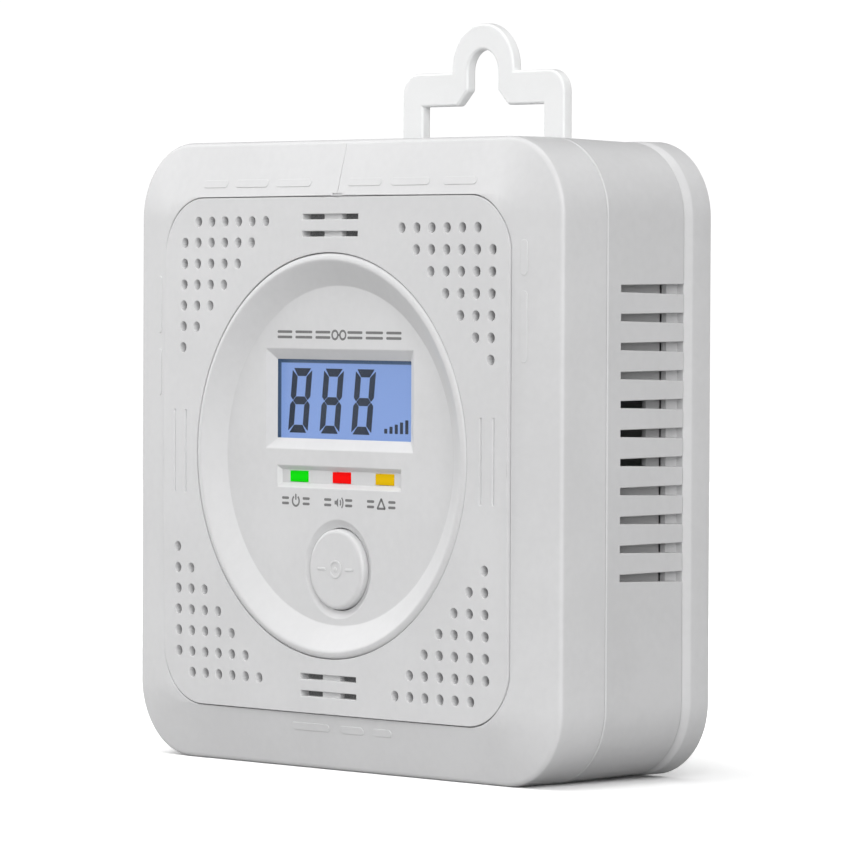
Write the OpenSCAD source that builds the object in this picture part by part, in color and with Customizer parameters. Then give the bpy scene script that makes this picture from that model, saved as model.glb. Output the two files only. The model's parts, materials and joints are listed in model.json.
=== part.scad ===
// Carbon monoxide detector: a square wall or shelf alarm with a round display dial, corner
// grilles, side vents, a pull-out hanger and a battery bay in its back.
// Pieces are drawn with X to the right, Y from the front rim towards the wall and Z up from
// the middle of the face. seated() then moves them so that the origin is at the bottom centre.

/* [Body] */
// Side of the square body
body_w = 118; // [112:1:144]
// Radius of the body's corners
corner_r = 14.5; // [13:0.5:16]
// Thickness of the side walls
wall = 2.2; // [1.8:0.1:2.7]
// Depth of the front shell, from the rim to the seam
front_depth = 11.1; // [9.6:0.1:14]
// Depth of the rear housing, from the seam to its rear edge
housing_depth = 20.2; // [18.5:0.1:26]
// Narrowing of the rear housing towards its rear edge, on each side
housing_draft = 0.6; // [0.1:0.1:0.8]
// Width of the shadow groove in front of the rear cover
groove_w = 0.6; // [0.3:0.1:1]
// Depth of the rear cover
cover_depth = 6.4; // [6:0.1:8]
// Thickness of the rear cover's plate
cover_t = 2.4; // [2:0.1:3]
// Clearance between pieces that only lie side by side
gap = 0.1; // [0.05:0.05:0.2]

/* [Face] */
// Width of the sloping border around the panel
border_w = 10.5; // [9:0.1:12]
// How far the border rises from the rim to the panel
border_rise = 2.6; // [2:0.1:3.2]
// Radius of the face panel's corners
panel_r = 11; // [9:0.5:13]
// Width of the shadow gap around the panel
panel_gap = 0.2; // [0.15:0.05:0.5]
// How far the panel's middle stands in front of the rim
panel_front = 4.2; // [4:0.1:4.8]
// Radius of the panel's domed front
crown_r = 1430; // [1200:10:2400]
// Level of the panel's flat back, in front of the rim
panel_back = 1.4; // [1:0.1:1.6]
// Thickness of the shell behind the panel
floor_t = 2; // [1.6:0.1:2.6]

/* [Grille] */
// Spacing of the grille holes
hole_pitch = 4; // [3.6:0.1:4.6]
// Diameter of a grille hole
hole_d = 1.9; // [1.4:0.1:2.3]
// Holes in the longest row of one corner, with its missing corner hole
hole_row = 7; // [5:1:7]
// Corner hole from the panel's edge, along the long row
hole_inset_x = 5.9; // [5:0.1:8]
// Corner hole from the panel's edge, across the long row
hole_inset_z = 4.5; // [4:0.1:8]
// Length of a sound slot
slot_l = 15.6; // [12:0.1:18]
// Height of a sound slot
slot_h = 1; // [0.8:0.1:1.4]
// Width of the rib in a slot's middle
slot_rib = 4.9; // [3:0.1:6]
// Outer slot from the panel's edge
slot_inset = 3.7; // [3:0.1:4.2]
// Spacing of the two slots
slot_pitch = 3.2; // [2.4:0.1:3.4]
// Length of the finger grooves beside the dial
side_groove_l = 15.8; // [12:0.1:20]

/* [Dial] */
// Diameter of the dial
dial_d = 75.7; // [75:0.1:77]
// Diameter of the dial's flat face
dial_flat_d = 63.2; // [62:0.1:64]
// Level of the dial's rim, in front of the body's rim
dial_rim = 4; // [3.6:0.1:4.4]
// Level of the dial's flat face, in front of the body's rim
dial_face = 1.15; // [0.9:0.05:1.3]
// Thickness of the dial's flat face
dial_t = 2; // [1.8:0.1:2.4]
// Visible width of the display
view_w = 37.3; // [30:0.1:38]
// Visible height of the display
view_h = 14.7; // [12:0.1:16]
// Width of the bevel around the display
view_bevel = 2.1; // [1:0.1:2.4]
// Height of the display's middle above the face's middle
view_z = 10.45; // [9.5:0.05:11]
// Thickness of the display window
window_t = 0.7; // [0.5:0.1:0.8]

/* [Lamps and button] */
// Width of a lamp's head
lamp_w = 5; // [4:0.1:5.4]
// Height of a lamp's head
lamp_h = 2; // [1.6:0.1:2.4]
// Spacing of the lamps
lamp_pitch = 12; // [9:0.5:13]
// Height of the lamps' row, from the face's middle
lamp_z = -4.15; // [-5:0.05:-3.5]
// Diameter of the test button's cap
button_d = 15.1; // [13:0.1:16]
// Height of the button's middle, from the face's middle
button_z = -21.2; // [-22:0.1:-20]
// How far the cap stands in front of the dial's flat face
button_rise = 0.7; // [0.4:0.1:1.2]
// Travel of the test button
button_travel = 0.5; // [0.3:0.05:0.8]
// Clearance around the button
button_gap = 0.2; // [0.1:0.05:0.3]

/* [Vents] */
// Number of side vents
vent_n = 11; // [7:2:13]
// Spacing of the vents
vent_pitch = 5.25; // [4.5:0.05:6]
// Height of the vents' middle, from the body's middle
vent_z = 5.2; // [0:0.1:8]
// Height of a vent at its front end
vent_h = 1.25; // [1:0.05:1.8]
// Height of a vent at its rear end
vent_h_rear = 1.85; // [1.2:0.05:2.4]
// Vent's front end behind the seam
vent_start = 3.8; // [3:0.1:6]

/* [Hanger] */
// Width over the hanger's legs
hanger_w = 45; // [40:0.5:48]
// Width of a leg
leg_w = 5.6; // [4.5:0.1:6.5]
// Thickness of the hanger
hanger_t = 2.4; // [2:0.1:2.5]
// Height of the shoulders above the body
shoulder_h = 13.7; // [11:0.1:15]
// Height of the crossbar
crossbar_h = 6.5; // [5:0.1:7.5]
// Outer radius of the hanging loop
loop_r = 8.6; // [7.5:0.1:9.5]
// Height of the loop above the shoulders
loop_h = 9.2; // [8.8:0.1:11]
// Width of the hanging slot
hang_slot_w = 8.3; // [6:0.1:9]
// Length of the legs inside the body
leg_in = 12; // [9:0.5:14]
// Sliding clearance of the hanger
hanger_gap = 0.1; // [0.05:0.01:0.1]
// Thickness of the rails behind the legs
rail_t = 0.75; // [0.6:0.05:1]

/* [Battery bay] */
// Diameter of an AA cell
cell_d = 14.2; // [14:0.1:14.5]
// Length of an AA cell, without its nub
cell_l = 49.3; // [49:0.1:50]
// Spacing of the cells
cell_pitch = 15; // [14.8:0.1:16]
// Space for a cell's contacts, both ends together
contact_space = 6; // [5:0.1:7]
// Height of the battery bay's middle, from the body's middle
bay_z = -5; // [-8:0.5:-4]
// Thickness of the battery tray's walls
tray_wall = 1.6; // [1.2:0.1:2]
// Thickness of the battery door
door_t = 2.1; // [1.8:0.1:2.3]
// Radius of the door's hinge pins
hinge_pin_r = 0.7; // [0.6:0.05:0.8]
// Radial clearance of the hinge pins
hinge_gap = 0.06; // [0.02:0.01:0.1]

/* [Electronics] */
// Thickness of the circuit board
board_t = 1.6; // [1.2:0.1:2]
// Front of the circuit board behind the rim
board_y = 7; // [6.8:0.1:7.6]
// Width of the circuit board
board_w = 102; // [98:1:103]
// Height of the circuit board
board_h = 90; // [84:1:90]
// Diameter of the gas sensor's can
sensor_d = 20; // [16:0.5:21]
// Length of the gas sensor's can
sensor_l = 14; // [10:0.5:15]
// Diameter of the sounder
sounder_d = 24; // [18:0.5:24]
// Radius of a case screw's shank
case_screw_r = 1.5; // [1.25:0.05:1.75]
// How far a case screw goes into the front shell
case_screw_bite = 4.6; // [3:0.1:6]
// Case screws from the body's sides
case_screw_inset = 8.5; // [8:0.1:9.5]
// Radius of a board screw's shank
board_screw_r = 1.1; // [0.9:0.05:1.3]
// Diameter of a battery lead
lead_d = 1.4; // [1:0.1:1.6]

/* [Hidden] */
$fn = 72;
EPS = 0.01;

// Levels from the rim towards the wall
body_half = body_w / 2;
seam_y = front_depth;
housing_end = seam_y + housing_depth;
cover_y = housing_end + groove_w;
back_y = cover_y + cover_depth;
plate_y = back_y - cover_t;
floor_y = floor_t - panel_back;
dial_back = dial_t - dial_face;
window_y = dial_back - window_t;
middle_y = (back_y - dial_rim) / 2;

// Outlines
inner_half = body_half - wall;
panel_half = body_half - border_w - panel_gap;
dial_r = dial_d / 2;
dial_hub_r = dial_r - 3.6;
window_inset = 2.9;
screen_t = 0.5;
boss_r = 4;
boss_at = body_half - case_screw_inset;
boss_clear_r = case_screw_r + 0.2;
cover_inset = max(0, housing_draft - 0.2);
cover_lip = wall + housing_draft + gap;
seam_depth = 0.8;
seam_w = 0.18;
score_w = 0.18;
score_depth = 0.14;
cover_boss_r = corner_r - cover_lip - sqrt(2) * (corner_r - case_screw_inset);
lip_t = 1.4;
vent_cut = 2.4;
vent_drop = 0.37;
lip_reach = 2.8;
head_r = 2.9;
head_h = 2.2;
head_seat = back_y - 2.8;
case_screw_l = head_seat - seam_y + case_screw_bite;

// Dial details
lamp_floor = 0.25;
lamp_front = lamp_floor + 0.15;
lamp_recess = [2 * lamp_pitch + lamp_w + 5.7, lamp_h + 2.1];
lamp_recess_slope = [1, 1.6];
moat_r = button_d / 2 + 1.7;
moat_y = -0.4;
button_r = button_d / 2;
button_front = dial_face + button_rise;
flange_y = dial_back + 0.1;
flange_t = 1;
switch_y = board_y - 3.5;
plunger_front = switch_y - 1.3;

// Hanger and its channel
hanger_y1 = back_y - rail_t - hanger_gap;
hanger_y0 = hanger_y1 - hanger_t;
leg_x = hanger_w / 2 - leg_w;
shoulder_z = body_half + shoulder_h;
crossbar_z = shoulder_z - crossbar_h;
hanger_top = shoulder_z + loop_h;
leg_end_z = body_half - leg_in;
hanger_travel = hanger_top - body_half;
barb = 1.2;
barb_h = 2;
channel_z = leg_end_z - hanger_travel - 1.2;
channel_floor_t = 1.6;
channel_top = body_half - cover_inset - 0.1;
rail_w = 1.2;

// Battery bay
bay_w = cell_l + 1.2 + contact_space;
bay_h = 3 * cell_pitch + 0.6;
tray_w = bay_w + 2 * tray_wall;
tray_h = bay_h + 2 * tray_wall;
cell_y = plate_y - cell_d / 2 - 0.6;
tray_y = cell_y - cell_d / 2 - tray_wall - 0.2;
tray_flange = 3;
door_w = tray_w + 0.6;
door_h = tray_h + 0.6;
door_gap = 0.2;
door_y = plate_y + 0.15;
door_bottom = bay_z - door_h / 2;
hinge_drop = 1.5;
hinge_z = door_bottom - hinge_drop;
hinge_y = door_y + 1.05;
hinge_x = 17;
lug_w = 5.6;
pin_l = 1;
cell_dir = [1, -1, 1];
plate_t = 0.4;
nub_r = 2.6;
nub_l = 1.2;

// Electronics
board_back = board_y + board_t;
screw_at = [board_w / 2 - 4.5, 10];
sensor_at = [38, 31.5];
sounder_at = [-27, -27];
sounder_h = 5;
lcd_w = view_w + 6.7;
lcd_h = 21.5;
glass_t = 1.8;
lcd_wall = 1;
lcd_y = dial_back + 0.25;
lead_plug_at = [-39, -5];

// Back of the body
keyhole_at = [36, 24];
label_at = [0, hinge_z - 10.8];
label_size = [46, 14];

// Moves the drawn pieces so that the origin is under the middle of the box
module seated() {
    translate([0, -middle_y, body_half]) children();
}

// Outline of a rectangle with round corners
module round_rect(w, h, r) {
    square([w - 2 * r, h], center = true);
    square([w, h - 2 * r], center = true);
    for (x = [-1, 1], z = [-1, 1]) translate([x * (w / 2 - r), z * (h / 2 - r)]) circle(r);
}

// Extrudes an outline drawn on the face from level y0 to level y1
module between(y0, y1) {
    translate([0, y1, 0]) rotate([90, 0, 0]) linear_extrude(y1 - y0) children();
}

// Turns a profile of [radius, level] points about the line through [x, z]
module turned(x, z, points) {
    translate([x, 0, z]) rotate([-90, 0, 0]) rotate_extrude() polygon(points);
}

// A straight round rod from level y0 to level y1
module rod(x, z, r, y0, y1) {
    translate([x, y0, z]) rotate([-90, 0, 0]) cylinder(r = r, h = y1 - y0);
}

// A stretch from a to b past a place, and one that reaches half to each side of it
function span(place, a, b) = [place + a, place + b];
function about(place, half) = span(place, -half, half);

// A block from one corner to the other
module block(x, y, z) {
    translate([x[0], y[0], z[0]]) cube([x[1] - x[0], y[1] - y[0], z[1] - z[0]]);
}

// Sweeps a profile of [inset from the outer wall, level] around a rounded square
module around_body(points) {
    run = 2 * (body_half - corner_r);
    rotate([90, 0, 0]) for (turn = [0:3]) rotate([0, 0, 90 * turn]) {
        translate([body_half, run / 2, 0]) rotate([90, 0, 0]) linear_extrude(run)
            rotate(180) polygon(points);
        translate([body_half - corner_r, body_half - corner_r, 0]) rotate_extrude(angle = 90)
            translate([corner_r, 0]) rotate(180) polygon(points);
    }
}

// Repeats a piece at the four corners of a rectangle
module at_corners(x, z) {
    for (i = [-1, 1], k = [-1, 1]) translate([i * x, 0, k * z]) children();
}

// Points of a tube's surface swept along a route, and the tube itself
function unit(v) = v / norm(v);
function lead_ring(p, dir, r, sides) =
    let (side = unit(cross(dir, [0.31, 0.2, 1])), up = cross(side, dir))
    [for (k = [0:sides - 1]) p + r * (cos(360 * k / sides) * side + sin(360 * k / sides) * up)];
module tube_along(route, r, sides) {
    n = len(route);
    rings = [for (i = [0:n - 1])
        each lead_ring(route[i], unit(route[min(i + 1, n - 1)] - route[max(i - 1, 0)]), r, sides)];
    walls = [for (i = [0:n - 2], k = [0:sides - 1])
        let (a = i * sides + k, b = i * sides + (k + 1) % sides)
        each [[a, b, b + sides], [a, b + sides, a + sides]]];
    start = [for (k = [sides - 1:-1:0]) k];
    end = [for (k = [0:sides - 1]) (n - 1) * sides + k];
    polyhedron(points = rings, faces = concat(walls, [start, end]), convexity = 6);
}

// Smooth route through hand-picked points
function spline(p, i, t) =
    let (a = p[max(i - 1, 0)], b = p[i], c = p[i + 1], d = p[min(i + 2, len(p) - 1)])
    0.5 * (2 * b + (c - a) * t + (2 * a - 5 * b + 4 * c - d) * t * t
        + (3 * b - a - 3 * c + d) * t * t * t);
function smooth_route(p, steps) = concat(
    [for (i = [0:len(p) - 2], s = [0:steps - 1]) spline(p, i, s / steps)], [p[len(p) - 1]]);

// Centre line of a spring that turns about Y, from level y0 to level y1
function spring_route(r0, r1, y0, y1, turns, per_turn) =
    [for (i = [0:turns * per_turn]) let (t = i / (turns * per_turn), a = 360 * i / per_turn)
        [(r0 + (r1 - r0) * t) * cos(a), y0 + (y1 - y0) * t, (r0 + (r1 - r0) * t) * sin(a)]];

// ---- Outer shells ----

// A triangle with a cut-off corner behind each corner's grille
module corner_openings(smaller, y0, y1) {
    reach = panel_half - window_inset - smaller;
    leg = hole_pitch * hole_row - 2 - 3 * smaller;
    cut = panel_r / 2;
    for (turn = [0:3]) rotate([0, 90 * turn, 0]) between(y0, y1)
        polygon([[-reach, reach - cut], [-reach + cut, reach], [-reach + leg, reach], [-reach, reach - leg]]);
}

// A window behind each pair of sound slots
module slot_openings(smaller, y0, y1) {
    for (k = [-1, 1]) block(about(0, slot_l / 2 - smaller), [y0, y1],
        about(k * (panel_half - slot_inset - slot_pitch / 2), 2.4 - smaller));
}

// Openings that the sound and the gas pass through, behind the panel's grilles
module grille_windows(y0, y1) {
    corner_openings(0, y0, y1);
    slot_openings(0, y0, y1);
}

// Shallow line across the top border, from the rim to the panel
module score_line() {
    translate([0.9 - score_w / 2, 0, 0]) rotate([90, 0, 90]) linear_extrude(score_w)
        polygon([[-10, body_half - 0.7], [score_depth - 0.15, body_half - 0.7],
            [score_depth - border_rise, body_half - border_w - 0.2], [-10, body_half - border_w - 0.2]]);
}

module front_shell() {
    seated() color("whitesmoke") difference() {
        union() {
            around_body([[0.12, seam_y], [0, seam_y - 0.12], [0, 0.9], [0.12, 0.42], [0.42, 0.12],
                [0.9, -0.15],
                [border_w, -border_rise], [corner_r - 0.1, -border_rise - 0.3], [corner_r - 0.1, floor_y],
                [border_w + 1, floor_y], [wall + 0.6, 2.6], [wall, 3.4], [wall, seam_y]]);
            between(-panel_back, floor_y)
                square(2 * (body_half - corner_r) + 2, center = true);
            at_corners(boss_at, boss_at) rod(0, 0, boss_r, floor_y - 1, seam_y);
            at_corners(screw_at[0], screw_at[1]) rod(0, 0, 2.4, floor_y - 1, board_y);
        }
        between(-10, -panel_back)
            round_rect(2 * (panel_half + panel_gap), 2 * (panel_half + panel_gap), panel_r + panel_gap);
        rod(0, 0, dial_hub_r + gap, -10, floor_y + 1);
        grille_windows(-10, floor_y + 1);
        at_corners(boss_at, boss_at) rod(0, 0, case_screw_r, seam_y - 6.4, seam_y + 1);
        at_corners(screw_at[0], screw_at[1]) rod(0, 0, board_screw_r, floor_y + 1.4, board_y + 1);
        block([-0.6, 2.4], [-10, 0.35 - border_rise], span(panel_half, 0, 0.7));
        score_line();
    }
}

// Centres of the grille holes in one corner
function grille_holes() = [for (row = [0:hole_row - 1], col = [0:hole_row - 1 - row])
    if (row + col > 0)
        [-panel_half + hole_inset_x + col * hole_pitch, panel_half - hole_inset_z - row * hole_pitch]];

function crown(r) = -panel_front + r * r / (2 * crown_r);

module face_panel() {
    crown_steps = 12;
    crown_reach = 1.5 * panel_half;
    slot_z = panel_half - slot_inset;
    seated() color("white") difference() {
        intersection() {
            between(-10, -panel_back) round_rect(2 * panel_half, 2 * panel_half, panel_r);
            turned(0, 0, concat(
                [for (i = [0:crown_steps]) let (r = crown_reach * i / crown_steps) [r, crown(r)]],
                [[crown_reach, 0], [0, 0]]));
        }
        rod(0, 0, dial_r + gap, -10, 1);
        for (turn = [0:3]) rotate([0, 90 * turn, 0]) for (h = grille_holes())
            rod(h[0], h[1], hole_d / 2, -10, 1);
        for (k = [-1, 1], pitch = [0, slot_pitch], side = [-1, 1]) {
            z = k * (slot_z - pitch);
            block(side > 0 ? [slot_rib / 2, slot_l / 2] : [-slot_l / 2, -slot_rib / 2], [-10, 1],
                about(z, slot_h / 2));
        }
        for (k = [-1, 1], pitch = [0, slot_pitch])
            block([-slot_rib / 2 - EPS, slot_rib / 2 + EPS], [-10, crown(slot_z) + 0.8],
                about(k * (slot_z - pitch), slot_h / 2));
        for (side = [-1, 1], x = [panel_half - 3.6, panel_half - 6.9])
            block(about(side * x, 0.25), [-10, crown(panel_half - 5) + 0.35],
                [-side_groove_l / 2, side_groove_l / 2]);
    }
}

module dust_screens() {
    seated() color("lightgray") {
        corner_openings(gap, -panel_back, screen_t - panel_back);
        slot_openings(gap, -panel_back, screen_t - panel_back);
    }
}

module display_dial() {
    flat_r = dial_flat_d / 2;
    view = [view_w, view_h];
    seated() color("white") difference() {
        turned(0, 0, [[0, -dial_face], [flat_r, -dial_face], [flat_r + 0.3, -dial_face - 0.05],
            [dial_r - 1.75, -dial_rim + 0.2], [dial_r - 1.2, -dial_rim], [dial_r - 0.6, -dial_rim + 0.1],
            [dial_r - 0.15, -dial_rim + 0.4], [dial_r, -dial_rim + 0.8], [dial_r, -panel_back],
            [dial_hub_r, -panel_back], [dial_hub_r, dial_back], [0, dial_back]]);
        // Display opening with its bevel, and the rebate behind it for the window
        translate([0, 0, view_z]) {
            hull() {
                between(-dial_face - 0.02, -dial_face - 0.01)
                    square([view_w + 2 * view_bevel, view_h + 2 * view_bevel], center = true);
                between(window_y - 0.01, window_y) square(view, center = true);
            }
            between(-dial_face, 5) square(view, center = true);
            between(window_y, 5) square([view_w + 3 + 2 * gap, view_h + 2.4 + 2 * gap], center = true);
        }
        // Recess and openings of the lamps
        translate([0, 0, lamp_z]) {
            hull() {
                between(-dial_face - 0.02, -dial_face - 0.01)
                    square(lamp_recess, center = true);
                between(-lamp_floor - 0.01, -lamp_floor)
                    square(lamp_recess - lamp_recess_slope, center = true);
            }
            for (i = [-1:1]) translate([i * lamp_pitch, 0, 0])
                between(-2, 5) square([lamp_w + 0.2, lamp_h + 0.2], center = true);
        }
        // Moat and bore of the test button
        turned(0, button_z, [[0, -5], [moat_r, -5], [moat_r, -dial_face], [moat_r - 0.5, moat_y - 0.4],
            [moat_r - 1.1, moat_y - 0.06], [button_r + button_gap, moat_y], [0, moat_y]]);
        rod(0, button_z, button_r + button_gap, -5, 5);
    }
}

module display_window() {
    seated() color([0.8, 0.88, 0.95, 0.5]) translate([0, 0, view_z])
        between(window_y, dial_back) round_rect(view_w + 3, view_h + 2.4, 0.8);
}

module test_button() {
    seated() color("white") union() {
        turned(0, button_z, [[0, -button_front], [button_r - 0.9, -button_front],
            [button_r - 0.35, -button_front + 0.15], [button_r - 0.08, -button_front + 0.45],
            [button_r, -button_front + 0.9], [button_r, flange_y], [button_r + 1, flange_y],
            [button_r + 1, flange_y + flange_t], [button_r - 1.2, flange_y + flange_t],
            [button_r - 1.2, -button_front + 1.6], [2, -button_front + 1.6],
            [2, plunger_front - 0.02], [0, plunger_front - 0.02]]);
    }
}

module button_spring() {
    seated() color("silver") translate([0, 0, button_z])
        tube_along(spring_route(button_r - 0.1, button_r - 0.1, flange_y + flange_t + 0.3, board_y - 0.3,
            3, 16), 0.25, 6);
}

// ---- Lamps ----

module lamp(place, tint) {
    seated() color(tint) translate([place * lamp_pitch, 0, lamp_z]) {
        between(-lamp_front, lamp_floor + 3) square([lamp_w, lamp_h], center = true);
        between(lamp_floor + 3, lamp_floor + 4) square([lamp_w + 0.6, lamp_h + 0.6], center = true);
        for (x = [-1.27, 1.27])
            block(about(x, 0.25), [lamp_floor + 4 - EPS, board_back + 1.2], [-0.25, 0.25]);
    }
}

module lamp_green() lamp(-1, "limegreen");
module lamp_red() lamp(0, "red");
module lamp_amber() lamp(1, "gold");

module lamp_spacers() {
    seated() color("dimgray") for (place = [-1:1]) translate([place * lamp_pitch, 0, lamp_z])
        difference() {
            between(lamp_floor + 4, board_y) square([lamp_w + 0.6, lamp_h + 0.6], center = true);
            for (x = [-1.27, 1.27]) block(about(x, 0.3), [0, board_y + 1], [-0.3, 0.3]);
        }
}

// ---- Rear housing and cover ----

// One vent, higher and a little lower down at its rear end, through both side walls
module vent() {
    start = seam_y + vent_start;
    rotate([90, 0, 90]) translate([0, 0, -body_half - 1]) linear_extrude(2 * body_half + 2)
        polygon([[start, -vent_h / 2], [start, vent_h / 2],
            [housing_end + EPS, vent_h_rear - vent_h / 2 - vent_drop],
            [housing_end + EPS, -vent_h / 2 - vent_drop]]);
}

// Upright walls behind the vents that keep draughts off the gas sensor, open behind the middle
module draught_walls() {
    t = 1.2;
    x = inner_half - vent_cut - t;
    reach = vent_n * vent_pitch / 2 + 2;
    y0 = seam_y + 2.4;
    y1 = housing_end - lip_reach - 0.4;
    for (side = [-1, 1]) {
        difference() {
            block(about(side * (x + t / 2), t / 2), [y0, housing_end + 1], about(vent_z, reach));
            block(about(side * (x + t / 2), t), [y0 + 1.4, y1 - 2.4], about(vent_z, 1.5 * vent_pitch - 0.2));
        }
        for (k = [-1, 1]) block(side > 0 ? [x, inner_half] : [-inner_half, -x], [y0, y1],
            about(vent_z + k * (reach - t / 2), t / 2));
    }
}

module rear_housing() {
    t = wall + housing_draft;
    seated() color("gainsboro") difference() {
        union() {
            around_body([[seam_depth, seam_y], [seam_depth, seam_y + seam_w], [0.25, seam_y + seam_w + 0.02],
                [0.02, seam_y + seam_w + 0.25], [housing_draft, housing_end], [t, housing_end],
                [t, seam_y + 3], [wall + 1.4, seam_y + 1.6], [wall + 1.4, seam_y - 2],
                [wall + gap, seam_y - 2], [wall + gap, seam_y]]);
            at_corners(boss_at, boss_at) rod(0, 0, boss_r, seam_y, housing_end - lip_reach - 0.4);
            draught_walls();
        }
        at_corners(boss_at, boss_at) {
            rod(0, 0, boss_clear_r, seam_y - 3, housing_end + 1);
            rod(0, 0, boss_r + gap, seam_y - 3, seam_y);
        }
        for (i = [0:vent_n - 1])
            translate([0, 0, vent_z + (i - (vent_n - 1) / 2) * vent_pitch]) difference() {
                vent();
                block([-inner_half + vent_cut, inner_half - vent_cut], [0, back_y], [-5, 5]);
            }
    }
}

// Channel in which the hanger slides, open to the top and partly to the back
module hanger_channel() {
    out = hanger_w / 2 + hanger_gap;
    inner = leg_x - hanger_gap;
    y0 = hanger_y0 - hanger_gap;
    y1 = hanger_y1 + hanger_gap;
    land_z = crossbar_z - hanger_travel - 0.3;
    for (side = [-1, 1]) {
        block(side > 0 ? [inner, out] : [-out, -inner], [y0, y1], [channel_z, body_half + 1]);
        block(side > 0 ? [inner, out - rail_w] : [rail_w - out, -inner], [y0, back_y + 1],
            [channel_z, body_half + 1]);
        block(side > 0 ? [inner, out + barb] : [-out - barb, -inner], [y0, y1],
            [channel_z, leg_end_z + barb_h + 0.2]);
    }
    block([-inner - EPS, inner + EPS], [y0, back_y + 1], [land_z, body_half + 1]);
}

// Notches and bores in the rear cover for the door's hinge
module hinge_seats() {
    // The cover's edge is rounded about the hinge line, so that the door's edge turns past it
    difference() {
        block([-door_w / 2 - door_gap, door_w / 2 + door_gap], [hinge_y, back_y + 1], [hinge_z, door_bottom]);
        translate([0, hinge_y, hinge_z]) rotate([0, 90, 0])
            cylinder(r = hinge_drop - 0.06, h = door_w + 2, center = true);
    }
    for (side = [-1, 1]) {
        block(span(side * hinge_x, -lug_w / 2 - 0.2, lug_w / 2 + 0.2), [plate_y - 3, back_y + 1],
            [hinge_z - 1.5, door_bottom + 1]);
        translate([side * hinge_x, hinge_y, hinge_z]) rotate([0, 90, 0])
            cylinder(r = hinge_pin_r + hinge_gap, h = lug_w + 2 * pin_l + 0.6, center = true);
    }
}

// Keyhole for hanging the body on a wall screw
module keyhole() {
    rod(0, 0, 4, plate_y - 1, back_y + 1);
    rod(0, 7, 2.1, plate_y - 1, back_y + 1);
    block([-2.1, 2.1], [plate_y - 1, back_y + 1], [0, 7]);
}

module rear_cover() {
    lip_in = cover_lip + lip_t;
    seated() color("whitesmoke") difference() {
        union() {
            around_body([[cover_inset + 0.9, cover_y], [cover_inset + 0.15, cover_y + 1.3],
                [cover_inset, cover_y + 1.8], [cover_inset, back_y - 0.5], [cover_inset + 0.15, back_y - 0.15],
                [cover_inset + 0.5, back_y], [corner_r - 0.1, back_y],
                [corner_r - 0.1, plate_y], [lip_in, plate_y], [lip_in, cover_y - lip_reach],
                [cover_lip, cover_y - lip_reach], [cover_lip, cover_y]]);
            between(plate_y, back_y) square(2 * (body_half - corner_r) + 2, center = true);
            block([-hanger_w / 2 - barb - 2, hanger_w / 2 + barb + 2],
                [hanger_y0 - hanger_gap - channel_floor_t, back_y - 0.1], [channel_z - 1.6, channel_top]);
            at_corners(boss_at, boss_at) {
                rod(0, 0, cover_boss_r, housing_end - lip_reach, plate_y);
                rod(0, 0, boss_r, cover_y + 1, back_y - 0.1);
            }
            for (side = [-1, 1]) block(span(side * hinge_x, -lug_w / 2 - 2.4, lug_w / 2 + 2.4),
                [plate_y - 0.7, back_y - 0.1], [hinge_z - 2.6, door_bottom - door_gap]);
        }
        hanger_channel();
        between(plate_y - 10, back_y + 1) translate([0, bay_z])
            round_rect(door_w + 2 * door_gap, door_h + 2 * door_gap, 1.5 + door_gap);
        hinge_seats();
        at_corners(boss_at, boss_at) {
            rod(0, 0, boss_clear_r, cover_y - 5, back_y + 1);
            rod(0, 0, head_r + 0.2, head_seat, back_y + 1);
        }
        for (side = [-1, 1]) translate([side * keyhole_at[0], 0, keyhole_at[1]]) keyhole();
        between(back_y - 0.25, back_y + 1) translate(label_at)
            round_rect(label_size[0] + 0.6, label_size[1] + 0.6, 1.3);
        // Finger notch above the battery door
        translate([0, back_y + 3.2, bay_z + door_h / 2 + 0.5]) rotate([0, 90, 0])
            cylinder(r = 4.6, h = 12, center = true);
    }
}

// Pan-head screw along Y, its head seated at level y and a cross in the head
module screw_along_y(r, length, seat, head_rad, head_len) {
    difference() {
        union() {
            rod(0, 0, r, seat - length, seat);
            turned(0, 0, [[0, seat], [head_rad, seat], [head_rad, seat + head_len * 0.45],
                [head_rad * 0.8, seat + head_len * 0.85], [head_rad * 0.45, seat + head_len],
                [0, seat + head_len]]);
        }
        for (turn = [0, 90]) rotate([0, turn, 0])
            block([-head_rad * 0.55, head_rad * 0.55], [seat + head_len * 0.35, seat + head_len + 1],
                [-head_rad * 0.13, head_rad * 0.13]);
    }
}

module case_screws() {
    seated() color("silver") at_corners(boss_at, boss_at)
        screw_along_y(case_screw_r, case_screw_l, head_seat, head_r, head_h);
}

module hanger() {
    slot_r = hang_slot_w / 2;
    flare = 2.9;
    loop_z = hanger_top - loop_r;
    seated() color("snow") between(hanger_y0, hanger_y1) difference() {
        union() {
            translate([0, shoulder_z - 10]) round_rect(hanger_w, 20, 4.3);
            for (side = [-1, 1])
                translate([side * (hanger_w / 2 - leg_w / 2), (leg_end_z + shoulder_z - 8) / 2])
                square([leg_w, shoulder_z - 8 - leg_end_z], center = true);
            for (side = [-1, 1]) translate([side * (hanger_w / 2 + barb / 2 - 0.5), leg_end_z + barb_h / 2])
                square([barb + 1, barb_h], center = true);
            translate([0, loop_z]) circle(loop_r);
            translate([-loop_r, shoulder_z - 1]) square([2 * loop_r, loop_z - shoulder_z + 1]);
        }
        translate([-leg_x, shoulder_z - 40]) square([2 * leg_x, 40 - crossbar_h]);
        translate([0, loop_z - 0.6]) circle(slot_r);
        translate([-slot_r, crossbar_z - 1]) square([2 * slot_r, loop_z - 0.6 - crossbar_z + 1]);
        polygon([[-slot_r - flare, crossbar_z - EPS], [slot_r + flare, crossbar_z - EPS],
            [slot_r, crossbar_z + flare], [-slot_r, crossbar_z + flare]]);
    }
}

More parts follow.
